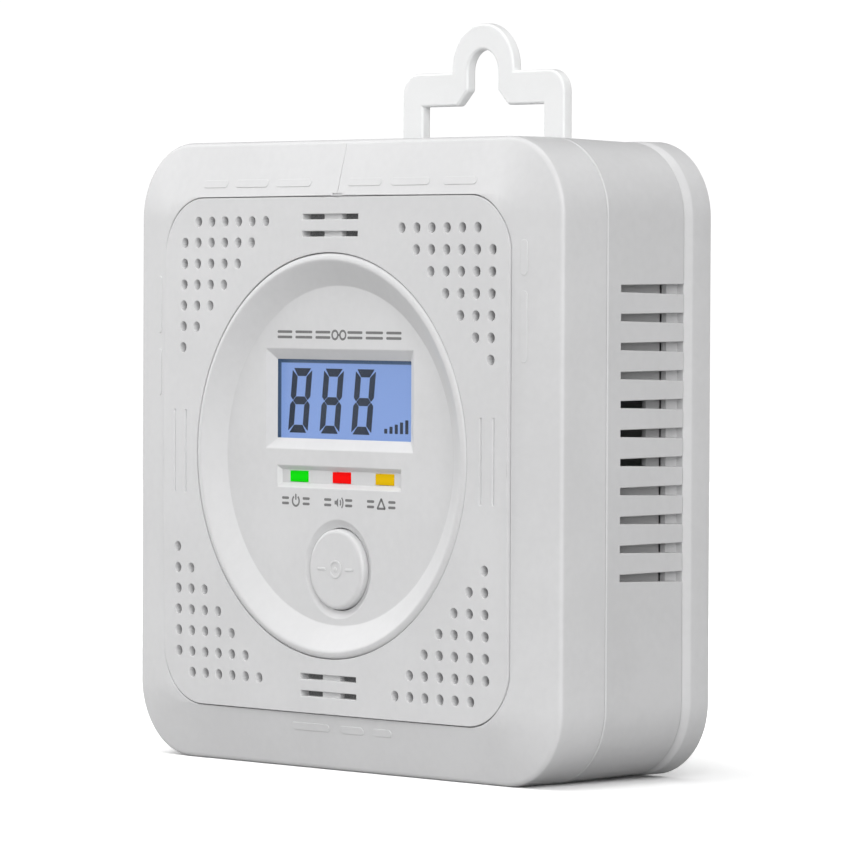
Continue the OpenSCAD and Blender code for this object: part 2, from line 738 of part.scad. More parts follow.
module battery_door() {
    seated() color("whitesmoke") difference() {
        union() {
            between(door_y, door_y + door_t) translate([0, bay_z]) round_rect(door_w, door_h, 1.5);
            for (side = [-1, 1]) translate([side * hinge_x, 0, 0]) {
                block([-lug_w / 2, lug_w / 2], [door_y, door_y + door_t], [hinge_z, door_bottom + 1]);
                translate([0, hinge_y, hinge_z]) rotate([0, 90, 0])
                    cylinder(r = door_t / 2, h = lug_w, center = true);
                translate([0, hinge_y, hinge_z]) rotate([0, 90, 0])
                    cylinder(r = hinge_pin_r, h = lug_w + 2 * pin_l, center = true);
            }
        }
        for (i = [0:4]) block([-9, 9], [door_y + door_t - 0.5, back_y + 1],
            about(bay_z + door_h / 2 - 5 - 2 * i, 0.5));
    }
}

// ---- Battery bay ----

module battery_tray() {
    seated() color("gainsboro") difference() {
        union() {
            between(tray_y, plate_y) translate([0, bay_z]) square([tray_w, tray_h], center = true);
            between(plate_y - 1.4, plate_y) translate([0, bay_z])
                square([tray_w + 2 * tray_flange, tray_h - 0.4], center = true);
        }
        block([-bay_w / 2, bay_w / 2], [tray_y + tray_wall, plate_y + 1], about(bay_z, bay_h / 2));
        for (side = [-1, 1]) block(span(side * hinge_x, -lug_w / 2 - 2.6, lug_w / 2 + 2.6),
            [plate_y - 2, plate_y + 1], span(bay_z - tray_h / 2, -1, 0.6));
        rod(-bay_w / 2 + 4, bay_z, lead_d / 2 + 1.2, tray_y - 1, tray_y + 5);
    }
}

// One cell, its positive end towards +X when dir is 1
module cell(place, tint) {
    dir = cell_dir[place + 1];
    z = bay_z + place * cell_pitch;
    seated() color(tint) translate([-dir * (cell_l / 2 + 0.6 - contact_space / 2 + 0.5), cell_y, z])
        rotate([0, 90 * dir, 0]) rotate_extrude() polygon([[0, 0], [cell_d / 2 - 0.6, 0], [cell_d / 2, 0.6],
            [cell_d / 2, cell_l - 0.8], [cell_d / 2 - 0.8, cell_l], [nub_r, cell_l], [nub_r, cell_l + nub_l],
            [0, cell_l + nub_l]]);
}

module cell_top() cell(1, "darkgoldenrod");
module cell_middle() cell(0, "darkgoldenrod");
module cell_bottom() cell(-1, "darkgoldenrod");

// Place of a cell's end plates along X
function minus_x(place) = -cell_dir[place + 1] * (bay_w / 2 - plate_t);

module cell_springs() {
    start = bay_w / 2 - plate_t - 0.35;
    end = cell_l / 2 + 0.6 - contact_space / 2 + 0.5 + 0.35;
    seated() color("silver") for (place = [-1:1]) translate([0, cell_y, bay_z + place * cell_pitch])
        rotate([0, 0, cell_dir[place + 1] > 0 ? 90 : -90])
            tube_along(spring_route(5, 2.6, start, end, 3, 12), 0.3, 6);
}

module spring_plates() {
    seated() color("silver") for (place = [-1:1])
        translate([minus_x(place), cell_y, bay_z + place * cell_pitch])
            block(cell_dir[place + 1] > 0 ? [-plate_t, 0] : [0, plate_t], [-5.5, 5.5], [-5.5, 5.5]);
}

module cell_caps_contacts() {
    seated() color("silver") for (place = [-1:1]) {
        dir = cell_dir[place + 1];
        reach = bay_w / 2 - (cell_l + nub_l - (cell_l / 2 + 0.6 - contact_space / 2 + 0.5));
        translate([dir * bay_w / 2, cell_y, bay_z + place * cell_pitch]) {
            block(dir > 0 ? [-plate_t, 0] : [0, plate_t], [-5.5, 5.5], [-5.5, 5.5]);
            block(dir > 0 ? [-reach, -plate_t + EPS] : [plate_t - EPS, reach], [-2, 2], [-2, 2]);
        }
    }
}

// Battery leads, from the tray's floor to the plug on the board
module battery_lead(tint, shift) {
    x0 = -bay_w / 2 + 4 + shift * 0.55;
    route = [[x0, tray_y - 0.05, bay_z + shift * 0.9], [x0, tray_y - 1.6, bay_z + shift * 0.9],
        [x0 - 3.4, tray_y - 2.8, bay_z + shift * 1.3],
        [lead_plug_at[0] + 6.2, board_back + 4, lead_plug_at[1] + shift * 1.25],
        [lead_plug_at[0] + 4.4, board_back + 3, lead_plug_at[1] + shift * 1.25],
        [lead_plug_at[0] + 3, board_back + 3, lead_plug_at[1] + shift * 1.25],
        [lead_plug_at[0] + 2.6, board_back + 3, lead_plug_at[1] + shift * 1.25]];
    seated() color(tint) tube_along(smooth_route(route, 4), lead_d / 2, 8);
}

module lead_red() battery_lead("red", 1);
module lead_black() battery_lead("black", -1);

module lead_plug() {
    seated() color("ivory")
        block(about(lead_plug_at[0], 2.5), span(board_back, 1.5, 4.5), about(lead_plug_at[1], 2.6));
}

module lead_socket() {
    x = lead_plug_at[0];
    seated() color("ivory") difference() {
        block(span(x, -3.5, 2.5), span(board_back, 0, 5.2), about(lead_plug_at[1], 3.6));
        block(span(x, -2.5, 3), span(board_back, 1.5, 6), about(lead_plug_at[1], 2.6));
    }
}

// ---- Board and display ----

module main_board() {
    seated() color("darkgreen") difference() {
        between(board_y, board_back) round_rect(board_w, board_h, 2);
        at_corners(boss_at, boss_at) rod(0, 0, boss_r + 0.6, 0, 20);
        at_corners(screw_at[0], screw_at[1]) rod(0, 0, board_screw_r + 0.2, 0, 20);
        for (place = [-1:1], x = [-1.27, 1.27])
            block(about(place * lamp_pitch + x, 0.3), [0, 20], about(lamp_z, 0.3));
    }
}

module board_screws() {
    seated() color("silver") at_corners(screw_at[0], screw_at[1])
        screw_along_y(board_screw_r, board_t + 4.4, board_back, 2.1, 1.5);
}

module lcd_glass() {
    seated() color("steelblue") translate([0, 0, view_z]) {
        between(lcd_y, lcd_y + glass_t / 2) square([lcd_w, lcd_h - 3], center = true);
        between(lcd_y + glass_t / 2, lcd_y + glass_t) square([lcd_w, lcd_h], center = true);
    }
}

module lcd_backlight() {
    seated() color("lightblue") translate([0, 0, view_z])
        between(lcd_y + glass_t, board_y) square([lcd_w, lcd_h - 6], center = true);
}

module lcd_contact_strips() {
    seated() color("hotpink") for (k = [-1, 1]) translate([0, 0, view_z + k * (lcd_h / 2 - 1.2)])
        between(lcd_y + glass_t, board_y) square([lcd_w - 3, 2], center = true);
}

module lcd_frame() {
    seated() color("white") translate([0, 0, view_z]) difference() {
        between(lcd_y, board_y)
            square([lcd_w + 2 * lcd_wall + 2 * gap, lcd_h + 2 * lcd_wall + 2 * gap], center = true);
        between(-5, 20) square([lcd_w + 2 * gap, lcd_h + 2 * gap], center = true);
    }
}

module switch_body() {
    seated() color("dimgray") difference() {
        translate([0, 0, button_z]) between(switch_y, board_y) round_rect(6, 6, 0.5);
        rod(0, button_z, 1.75 + 0.06, -5, board_y - 0.8);
    }
}

module switch_plunger() {
    seated() color("black") rod(0, button_z, 1.75, plunger_front, board_y - 0.8 - button_travel - 0.1);
}

module sounder_can() {
    r = sounder_d / 2;
    seated() color("dimgray") difference() {
        rod(sounder_at[0], sounder_at[1], r, board_y - sounder_h, board_y);
        rod(sounder_at[0], sounder_at[1], r - 1.2, board_y - sounder_h + 1.2, board_y - 1.2);
        rod(sounder_at[0], sounder_at[1], 2, board_y - sounder_h - 1, board_y - sounder_h + 2);
    }
}

module sounder_disc() {
    r = sounder_d / 2 - 1.2 - 0.1;
    seated() color("gold") union() {
        rod(sounder_at[0], sounder_at[1], r, board_y - 1.6, board_y - 1.3);
        rod(sounder_at[0], sounder_at[1], r - 3, board_y - 1.9, board_y - 1.6);
    }
}

module sounder_gasket() {
    r = sounder_d / 2;
    seated() color("black") difference() {
        rod(sounder_at[0], sounder_at[1], r, max(floor_y, dial_back), board_y - sounder_h);
        rod(sounder_at[0], sounder_at[1], r - 2, floor_y - 1, board_y);
    }
}

module gas_sensor_can() {
    y0 = board_back + 2.5;
    seated() color("silver") turned(sensor_at[0], sensor_at[1], [[0, y0], [sensor_d / 2 - 0.6, y0],
        [sensor_d / 2, y0 + 0.6], [sensor_d / 2, y0 + sensor_l - 0.8], [sensor_d / 2 - 0.8, y0 + sensor_l],
        [0, y0 + sensor_l]]);
}

module gas_sensor_cap() {
    y1 = board_back + 2.5 + sensor_l;
    seated() color("white") difference() {
        rod(sensor_at[0], sensor_at[1], sensor_d / 2 - 2.5, y1, y1 + 2);
        for (turn = [0:5]) translate([sensor_at[0], 0, sensor_at[1]]) rotate([0, 60 * turn, 0])
            rod(3.6, 0, 0.9, y1, y1 + 3);
    }
}

module sensor_socket() {
    seated() color("dimgray") for (turn = [0:2]) translate([sensor_at[0], 0, sensor_at[1]])
        rotate([0, 120 * turn, 0]) rod(6, 0, 1.2, board_back, board_back + 2.5);
}

// A chip with its two rows of legs
module chip(x, z, w, h, t, legs) {
    block(about(x, w / 2), span(board_back, 0.1, t), about(z, h / 2));
    for (i = [0:legs - 1], side = [-1, 1]) block(about(x + (i - (legs - 1) / 2) * 1.27, 0.2),
        span(board_back, 0, 0.3), about(z + side * (h / 2 + 0.5), 0.7));
}

module controller_chip() {
    seated() color("black") chip(2, 4, 18, 7.5, 2.4, 14);
}

module driver_chip() {
    seated() color("black") chip(-24, -26, 5, 4, 1.6, 4);
}

module boost_coil() {
    x = -35;
    z = 26;
    seated() color("saddlebrown") turned(x, z, [[0, board_back], [4.4, board_back], [4.4, board_back + 1],
        [3.2, board_back + 1], [3.2, board_back + 5], [4.4, board_back + 5], [4.4, board_back + 6],
        [0, board_back + 6]]);
}

module sounder_coil() {
    seated() color("black") turned(-36, -34, [[0, board_back], [5, board_back], [5, board_back + 6.4],
        [4.4, board_back + 7], [0, board_back + 7]]);
}

module capacitors() {
    seated() color("navy") for (at = [[-22, 33], [-12, 33], [14, -34]])
        turned(at[0], at[1], [[0, board_back], [3.6, board_back], [4, board_back + 0.5],
            [3.6, board_back + 1.2], [4, board_back + 1.8], [4, board_back + 7],
            [3.6, board_back + 7.4], [0, board_back + 7.4]]);
}

module chip_resistors() {
    seated() color("black") for (i = [0:7])
        block(about(-12 + 3.6 * i, 0.8), span(board_back, 0, 0.5), about(-12, 0.45));
}

module chip_capacitors() {
    seated() color("tan") for (i = [0:5])
        block(about(-8 + 4.4 * i, 1), span(board_back, 0, 0.9), about(16, 0.6));
}

module crystal() {
    seated() color("silver") block([18, 26], span(board_back, 0, 3.4), [-4.8, -1.2]);
}

module rear_label() {
    seated() color("silver") between(back_y - 0.25, back_y - 0.1) translate(label_at)
        round_rect(label_size[0], label_size[1], 1);
}

front_shell();
face_panel();
dust_screens();
display_dial();
display_window();
test_button();
button_spring();
lamp_green();
lamp_red();
lamp_amber();
lamp_spacers();
rear_housing();
rear_cover();
case_screws();
hanger();
battery_door();
battery_tray();
cell_top();
cell_middle();
cell_bottom();
cell_springs();
cell_caps_contacts();
spring_plates();
lead_red();
lead_black();
lead_plug();
lead_socket();
main_board();
board_screws();
lcd_glass();
lcd_backlight();
lcd_frame();
lcd_contact_strips();
switch_body();
switch_plunger();
sounder_can();
sounder_disc();
sounder_gasket();
gas_sensor_can();
gas_sensor_cap();
sensor_socket();
controller_chip();
driver_chip();
boost_coil();
sounder_coil();
capacitors();
chip_resistors();
chip_capacitors();
crystal();
rear_label();
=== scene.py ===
"""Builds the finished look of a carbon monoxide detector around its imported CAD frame.

Lengths are in metres, X runs to the right of the dial, Y towards the wall and Z up.
"""
import json
import math

import bmesh
import bpy
from bpy.props import FloatProperty, FloatVectorProperty, PointerProperty
from mathutils import Matrix, Vector


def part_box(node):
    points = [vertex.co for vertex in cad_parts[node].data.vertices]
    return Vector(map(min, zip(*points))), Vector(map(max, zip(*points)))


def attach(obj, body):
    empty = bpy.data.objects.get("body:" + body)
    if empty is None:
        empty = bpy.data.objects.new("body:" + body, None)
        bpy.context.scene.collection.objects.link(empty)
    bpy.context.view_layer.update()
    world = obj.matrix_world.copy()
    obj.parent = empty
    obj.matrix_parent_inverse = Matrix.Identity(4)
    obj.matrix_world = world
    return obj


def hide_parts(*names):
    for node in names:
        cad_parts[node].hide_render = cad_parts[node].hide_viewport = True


bl_info = {
    "name": "Carbon monoxide detector",
    "version": (1, 0, 0),
    "blender": (4, 5, 0),
    "location": "View3D > Sidebar > Detector",
    "description": "Mouldings, display, lamps, marks and studio of a carbon monoxide detector",
    "category": "Object",
}

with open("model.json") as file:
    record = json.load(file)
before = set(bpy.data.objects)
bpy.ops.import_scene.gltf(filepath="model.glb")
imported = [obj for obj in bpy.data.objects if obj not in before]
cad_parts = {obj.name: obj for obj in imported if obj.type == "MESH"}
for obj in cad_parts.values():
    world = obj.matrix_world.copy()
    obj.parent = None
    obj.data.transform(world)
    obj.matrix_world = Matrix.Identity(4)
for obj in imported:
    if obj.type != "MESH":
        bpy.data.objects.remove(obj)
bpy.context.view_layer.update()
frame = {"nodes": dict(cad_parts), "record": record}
NODES = frame["nodes"]
BODY_OF = {n: b for b, names in frame["record"]["behaviour"]["bodies"].items() for n in names}
SLOT_OF = {s["node"]: s["material_slot"] for s in frame["record"]["subparts"]}

MM = 0.001
HOUSING = BODY_OF["front_shell"]
BUTTON = BODY_OF["test_button"]

# Places taken from the frame
SHELL_LOW, SHELL_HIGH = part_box("front_shell")
WINDOW_LOW, WINDOW_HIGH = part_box("display_window")
BUTTON_LOW, BUTTON_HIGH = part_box("test_button")
LABEL_LOW, LABEL_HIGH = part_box("rear_label")
RED_LOW, RED_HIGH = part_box("lamp_red")
GREEN_LOW, GREEN_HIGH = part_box("lamp_green")
GLASS_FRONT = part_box("lcd_glass")[0].y
DIAL_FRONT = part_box("display_dial")[0].y
COVER_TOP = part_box("rear_cover")[1].z
MID_Z = (SHELL_LOW.z + SHELL_HIGH.z) / 2
VIEW_Z = (WINDOW_LOW.z + WINDOW_HIGH.z) / 2
LAMP_Z = (RED_LOW.z + RED_HIGH.z) / 2
LAMP_STEP = (RED_LOW.x + RED_HIGH.x - GREEN_LOW.x - GREEN_HIGH.x) / 2
BUTTON_Z = (BUTTON_LOW.z + BUTTON_HIGH.z) / 2

# The rear cover's block round the hanger's channel reaches this far past the hanger's barbs
CHANNEL_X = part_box("hanger")[1].x + 2 * MM

# The body's rim stands this far before the shells' seam, and the dial's disc behind its front
SEAM_Y = SHELL_HIGH.y
RIM_Y = SEAM_Y - 11.1 * MM
DISC_Y = DIAL_FRONT + 2.85 * MM

# The sloping border: its rise over its run, and where it starts, in from the side and before
# the rim
BORDER_SLOPE = math.atan2(2.45, 9.6)
BORDER_START = 0.9 * MM
BORDER_STEP = 0.15 * MM


class Sizes(bpy.types.PropertyGroup):
    """Sizes of the details that a moulding shop would change."""

    shell_round: FloatProperty(
        name="Shell edge", description="Rounding of the shells' outer edges",
        default=0.35 * MM, min=0.05 * MM, max=0.8 * MM, unit="LENGTH")
    face_round: FloatProperty(
        name="Dial edge", description="Rounding of the dial's edges",
        default=0.16 * MM, min=0.05 * MM, max=0.3 * MM, unit="LENGTH")
    hole_round: FloatProperty(
        name="Panel edge", description="Rounding of the panel's holes, slots and grooves",
        default=0.16 * MM, min=0.05 * MM, max=0.24 * MM, unit="LENGTH")
    hanger_round: FloatProperty(
        name="Hanger edge", description="Rounding of the hanger's edges",
        default=0.55 * MM, min=0.1 * MM, max=1.0 * MM, unit="LENGTH")
    fine_round: FloatProperty(
        name="Fine edge", description="Rounding of the small pieces' edges",
        default=0.12 * MM, min=0.03 * MM, max=0.3 * MM, unit="LENGTH")
    digit_height: FloatProperty(
        name="Digit height", description="Height of a digit on the display",
        default=12.2 * MM, min=6 * MM, max=14 * MM, unit="LENGTH")
    digit_width: FloatProperty(
        name="Digit width", description="Width of a digit before its slant",
        default=5.55 * MM, min=3 * MM, max=8 * MM, unit="LENGTH")
    digit_pitch: FloatProperty(
        name="Digit pitch", description="Distance from one digit to the next",
        default=8.95 * MM, min=6 * MM, max=11 * MM, unit="LENGTH")
    digit_stroke: FloatProperty(
        name="Digit stroke", description="Width of a segment",
        default=1.5 * MM, min=0.6 * MM, max=2 * MM, unit="LENGTH")
    mark_height: FloatProperty(
        name="Raised mark", description="How far the raised marks stand above the border",
        default=0.12 * MM, min=0.04 * MM, max=0.3 * MM, unit="LENGTH")


class Colours(bpy.types.PropertyGroup):
    """Colours of the finishes, as linear values."""

    shell: FloatVectorProperty(
        name="Shell", description="White of the shells and the face", subtype="COLOR",
        default=(0.640, 0.640, 0.645), min=0, max=1)
    housing: FloatVectorProperty(
        name="Rear housing", description="White of the rear housing and cover", subtype="COLOR",
        default=(0.595, 0.595, 0.600), min=0, max=1)
    hanger: FloatVectorProperty(
        name="Hanger", description="White of the hanger", subtype="COLOR",
        default=(0.800, 0.805, 0.805), min=0, max=1)
    display: FloatVectorProperty(
        name="Display", description="Lit background of the display", subtype="COLOR",
        default=(0.225, 0.345, 0.680), min=0, max=1)
    digits: FloatVectorProperty(
        name="Digits", description="Dark segments of the display", subtype="COLOR",
        default=(0.016, 0.028, 0.055), min=0, max=1)
    print_grey: FloatVectorProperty(
        name="Print", description="Grey of the printed marks", subtype="COLOR",
        default=(0.165, 0.165, 0.165), min=0, max=1)
    green: FloatVectorProperty(
        name="Green lamp", description="Lit colour of the green lamp", subtype="COLOR",
        default=(0.000, 0.690, 0.000), min=0, max=1)
    red: FloatVectorProperty(
        name="Red lamp", description="Lit colour of the red lamp", subtype="COLOR",
        default=(0.900, 0.000, 0.000), min=0, max=1)
    amber: FloatVectorProperty(
        name="Amber lamp", description="Lit colour of the amber lamp", subtype="COLOR",
        default=(0.720, 0.450, 0.000), min=0, max=1)


class Studio(bpy.types.PropertyGroup):
    """Light and camera of the studio."""

    right_front: FloatProperty(
        name="Right front light", description="Strength of the low light before the right corner",
        default=2.41, min=0, max=20)
    left_front: FloatProperty(
        name="Left front light", description="Strength of the low light before the left corner",
        default=1.57, min=0, max=20)
    upper_front: FloatProperty(
        name="Upper front light", description="Strength of the light above the front",
        default=0.69, min=0, max=20)
    overhead: FloatProperty(
        name="Overhead light", description="Strength of the light straight above",
        default=1.19, min=0, max=20)
    right_side: FloatProperty(
        name="Right side light", description="Strength of the low light on the vented side",
        default=0.38, min=0, max=20)
    rear: FloatProperty(
        name="Rear light", description="Strength of the low light behind the detector",
        default=0.45, min=0, max=20)
    spread: FloatProperty(
        name="Light size", description="Angle that each light fills", default=math.radians(50),
        min=0, max=math.radians(170), subtype="ANGLE")
    floor_bounce: FloatProperty(
        name="Floor bounce", description="Share of the floor's light that reaches the detector",
        default=0.45, min=0, max=1)
    floor_gain: FloatProperty(
        name="Floor brightness", description="How bright the floor is shown, 1 being as lit",
        default=1.5, min=0.5, max=2)
    lens: FloatProperty(
        name="Lens", description="Focal length of the camera", default=0.24386, min=0.02, max=0.6,
        unit="LENGTH")
    yaw: FloatProperty(
        name="Camera turn", description="Turn of the camera about the upright axis",
        default=math.radians(47.537), subtype="ANGLE")
    tilt: FloatProperty(
        name="Camera tilt", description="Tilt of the camera, negative when it looks down",
        default=math.radians(-1.378), subtype="ANGLE")
    roll: FloatProperty(
        name="Camera roll", description="Roll of the camera about its own axis",
        default=math.radians(0.257), subtype="ANGLE")


# ---- Materials ----

class Value:
    """A socket of a node tree that Python's operators work on."""

    def __init__(self, tree, socket):
        self.tree = tree
        self.socket = socket

    def _maths(self, operation, *values):
        return self.tree.node("ShaderNodeMath", {"operation": operation}, dict(enumerate(values)))

    def __add__(self, other):
        return self._maths("ADD", self, other)

    def __sub__(self, other):
        return self._maths("SUBTRACT", self, other)

    def __mul__(self, other):
        return self._maths("MULTIPLY", self, other)

    def __rsub__(self, other):
        return self._maths("SUBTRACT", other, self)

    def __lt__(self, other):
        return self._maths("LESS_THAN", self, other)

    def __mod__(self, other):
        return self._maths("FLOORED_MODULO", self, other)

    def __abs__(self):
        return self._maths("ABSOLUTE", self)

    __radd__ = __add__
    __rmul__ = __mul__

    def smaller(self, other):
        return self._maths("MINIMUM", self, other)

    def larger(self, other):
        return self._maths("MAXIMUM", self, other)

    def fade(self, start, end):
        """0 before start and 1 after end, smooth between them."""
        return self.tree.node(
            "ShaderNodeMapRange", {"interpolation_type": "SMOOTHSTEP"},
            {"Value": self, "From Min": start, "From Max": end, "To Min": 0.0, "To Max": 1.0})


class Tree:
    """The node tree of a material or of the world."""

    def __init__(self, owner):
        owner.use_nodes = True
        self.nodes = owner.node_tree.nodes
        self.links = owner.node_tree.links

    def feed(self, socket, value):
        if isinstance(value, Value):
            self.links.new(value.socket, socket)
        elif hasattr(value, "__len__") and len(value) == 3 and len(socket.default_value) == 4:
            socket.default_value = (*value, 1.0)
        else:
            socket.default_value = value

    def node(self, kind, settings, values, output=0):
        """Makes a node: its settings first, then the values or links of its sockets."""
        made = self.nodes.new(kind)
        for key, setting in settings.items():
            setattr(made, key, setting)
        for key, value in values.items():
            self.feed(made.inputs[key], value)
        return Value(self, made.outputs[output])


class Paint(Tree):
    """One material and its nodes."""

    def __init__(self, name):
        self.material = bpy.data.materials.new(name)
        super().__init__(self.material)
        self.shader = next(n for n in self.nodes if n.type == "BSDF_PRINCIPLED")
        self.place = self.node("ShaderNodeTexCoord", {}, {}, "Object")

    def axis(self, letter):
        return self.node("ShaderNodeSeparateXYZ", {}, {0: self.place}, letter)

    def noise(self, size, detail=3.0, stretch=None, distortion=0.0):
        """Cloudy noise with features about as large as size."""
        place = self.place
        if stretch:
            place = self.node("ShaderNodeMapping", {}, {"Vector": place, "Scale": stretch})
        return self.node(
            "ShaderNodeTexNoise", {},
            {"Vector": place, "Scale": 1 / size, "Detail": detail, "Distortion": distortion}, "Fac")

    def blend(self, mask, first, second):
        """A colour that goes from first to second as the mask goes from 0 to 1."""
        # A Mix node's colours are its inputs 6 and 7, and its mixed colour is output 2
        return self.node("ShaderNodeMix", {"data_type": "RGBA"}, {0: mask, 6: first, 7: second}, 2)

    def relief(self, height, depth, strength=1.0, below=None):
        """Turns a height between 0 and 1 into a normal, on top of the one below."""
        values = {"Height": height, "Distance": depth, "Strength": strength}
        if below is not None:
            values["Normal"] = below
        return self.node("ShaderNodeBump", {}, values, "Normal")

    def set(self, **sockets):
        """Feeds the shader's sockets and returns the material."""
        for name, value in sockets.items():
            self.feed(self.shader.inputs[name.replace("_", " ")], value)
        return self.material


def shaded(colour, share):
    """The colour made darker or lighter by a share."""
    return tuple(min(1.0, c * share) for c in colour)


def moulded_plastic(name, colour, rough=0.42, cloud=0.03):
    """Satin moulded plastic: spark-eroded grain, faint clouding and slow waves of the surface."""
    paint = Paint(name)
    clouds = paint.noise(24 * MM, 4.0)
    flecks = paint.noise(1.6 * MM, 2.0)
    mask = (clouds * 0.7 + flecks * 0.3).fade(0.32, 0.68)
    grains = paint.noise(0.45 * MM, 2.0)
    waves = paint.noise(9 * MM, 1.0)
    slow = paint.relief(waves, 0.02 * MM, 0.5)
    return paint.set(
        Base_Color=paint.blend(mask, shaded(colour, 1 - cloud), shaded(colour, 1 + cloud)),
        Roughness=rough + (clouds - 0.5) * 0.12 + (flecks - 0.5) * 0.08,
        Normal=paint.relief(grains, 0.006 * MM, 0.6, slow))


def metal(name, colour, rough, brush=(1.0, 1.0, 1.0)):
    """Plated or brushed metal with fine streaks and a slightly uneven tarnish."""
    paint = Paint(name)
    streaks = paint.noise(0.3 * MM, 3.0, brush)
    blotches = paint.noise(3.5 * MM, 3.0)
    return paint.set(
        Base_Color=paint.blend(blotches.fade(0.35, 0.75), colour, shaded(colour, 0.88)),
        Metallic=1.0,
        Roughness=rough + (streaks - 0.5) * 0.18 + (blotches - 0.5) * 0.1,
        Normal=paint.relief(streaks, 0.004 * MM, 0.5))


def felt(name, colour):
    """Non-woven dust felt: crossing fibres with pale tips."""
    paint = Paint(name)
    across = paint.noise(0.5 * MM, 4.0, (4.0, 1.0, 1.0), 0.6)
    along = paint.noise(0.5 * MM, 4.0, (1.0, 1.0, 4.0), 0.6)
    fibres = across.larger(along)
    return paint.set(
        Base_Color=paint.blend(fibres.fade(0.4, 0.75), shaded(colour, 0.6), shaded(colour, 1.25)),
        Roughness=0.92, Normal=paint.relief(fibres, 0.12 * MM, 0.9))


def rubber(name, colour, rough=0.55):
    """Drawn insulation or soft rubber: matt with faint draw lines and dusty patches."""
    paint = Paint(name)
    dust = paint.noise(2.2 * MM, 4.0)
    fine = paint.noise(0.25 * MM, 2.0)
    return paint.set(
        Base_Color=paint.blend(dust.fade(0.45, 0.8), colour, shaded(colour, 1.5)),
        Roughness=rough + (dust - 0.5) * 0.2, Normal=paint.relief(fine, 0.01 * MM, 0.5))


def lamp_epoxy(name, colour):
    """Lit lamp head: diffused epoxy that glows most in its middle."""
    paint = Paint(name)
    speck = paint.noise(0.35 * MM, 2.0)
    height = abs(paint.axis("Z") - LAMP_Z)
    core = height.fade(1.1 * MM, 0.2 * MM)
    glow = paint.blend(core * 0.8 + speck * 0.2, shaded(colour, 0.86), shaded(colour, 1.04))
    body = paint.blend(speck, shaded(colour, 0.10), shaded(colour, 0.14))
    return paint.set(
        Base_Color=body, Roughness=0.28 + speck * 0.1, Emission_Color=glow, Emission_Strength=0.92,
        Specular_IOR_Level=0.05)


def lit_display(name, colour):
    """Lit liquid crystal glass: even blue, with painted shade as a dark band along its left and top
    edges.
    """
    paint = Paint(name)
    # Half the width and half the height of what shows through the window
    reach = (WINDOW_HIGH.x - WINDOW_LOW.x) / 2 - 1.5 * MM
    rise = (WINDOW_HIGH.z - WINDOW_LOW.z) / 2 - 1.2 * MM
    # Painted shade: lit is 0 in a narrow band along the glass's left and top edges and 1 elsewhere
    left = (paint.axis("X") + (reach + 0.9 * MM)).fade(0.62 * MM, 0.8 * MM)
    top = (VIEW_Z + rise - paint.axis("Z")).fade(0.52 * MM, 0.7 * MM)
    lit = left * top
    drift = paint.noise(14 * MM, 2.0)
    # The blue runs from a little brighter at the bottom to a little darker at the top
    towards_top = paint.axis("Z").fade(VIEW_Z - rise, VIEW_Z + rise)
    blue = paint.blend(drift * 0.5 + towards_top * 0.5, shaded(colour, 1.03), shaded(colour, 0.96))
    # edge is the colour of the painted shade band at the left and top; the dark base colour below
    # also belongs to that painted shade
    edge = paint.blend(drift, (0.042, 0.075, 0.135), (0.052, 0.088, 0.160))
    return paint.set(
        Base_Color=paint.blend(lit, (0.030, 0.048, 0.084), shaded(colour, 0.25)),
        Roughness=0.25, Emission_Color=paint.blend(lit, edge, blue), Emission_Strength=0.86,
        Normal=paint.relief(paint.noise(0.3 * MM), 0.001 * MM, 0.3))


def clear_window(name, colour):
    """Clear acrylic with a faint haze of fine scratches."""
    paint = Paint(name)
    scratches = paint.noise(0.6 * MM, 3.0, (6.0, 1.0, 1.0), 0.4)
    return paint.set(
        Base_Color=paint.blend(scratches, shaded(colour, 0.05), shaded(colour, 0.06)),
        Roughness=0.06 + scratches * 0.05, Alpha=0.03 + scratches * 0.02, IOR=1.49)


def printed_ink(name, colour):
    """Pad-printed ink: nearly even, with small thin spots."""
    paint = Paint(name)
    thin = paint.noise(0.4 * MM, 3.0)
    return paint.set(
        Base_Color=paint.blend(thin.fade(0.5, 0.8), colour, shaded(colour, 1.35)),
        Roughness=0.5 + thin * 0.1, Normal=paint.relief(thin, 0.003 * MM, 0.4))


def board_mask(name, colour):
    """Solder mask over copper: lighter tracks and a fine weave under the lacquer."""
    paint = Paint(name)
    run = paint.noise(9 * MM, 1.0)

    def lines(letter, wander, pitch, half_width):
        """1 on the tracks that cross this axis, which wander a little with the noise."""
        return abs((paint.axis(letter) + run * wander) % pitch - pitch / 2) < half_width

    tracks = lines("X", 6 * MM, 2.4 * MM, 0.35 * MM)
    crossing = lines("Z", 5 * MM, 3.1 * MM, 0.3 * MM)
    region = run.fade(0.48, 0.5)
    copper = tracks * region + crossing * (1 - region)
    weave = paint.noise(0.35 * MM, 1.0)
    return paint.set(
        Base_Color=paint.blend(copper, colour, (0.045, 0.26, 0.09)),
        Roughness=0.3 + weave * 0.1, Coat_Weight=0.3,
        Normal=paint.relief(copper * 0.8 + weave * 0.2, 0.035 * MM, 0.8))


def cell_sleeve(name, colour):
    """Shrink sleeve of a cell: dark body and one copper-coloured band, lightly creased."""
    paint = Paint(name)
    low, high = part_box("cell_middle")
    length = high.x - low.x
    past_band = (paint.axis("X") - low.x).fade(0.30 * length, 0.31 * length)
    creases = paint.noise(1.2 * MM, 3.0, (0.2, 1.0, 1.0))
    band = paint.blend(creases, (0.52, 0.24, 0.10), (0.46, 0.20, 0.08))
    body = paint.blend(creases, colour, shaded(colour, 1.4))
    return paint.set(
        Base_Color=paint.blend(past_band, band, body),
        Metallic=0.35, Roughness=0.3 + creases * 0.12, Coat_Weight=0.4,
        Normal=paint.relief(creases, 0.03 * MM, 0.5))


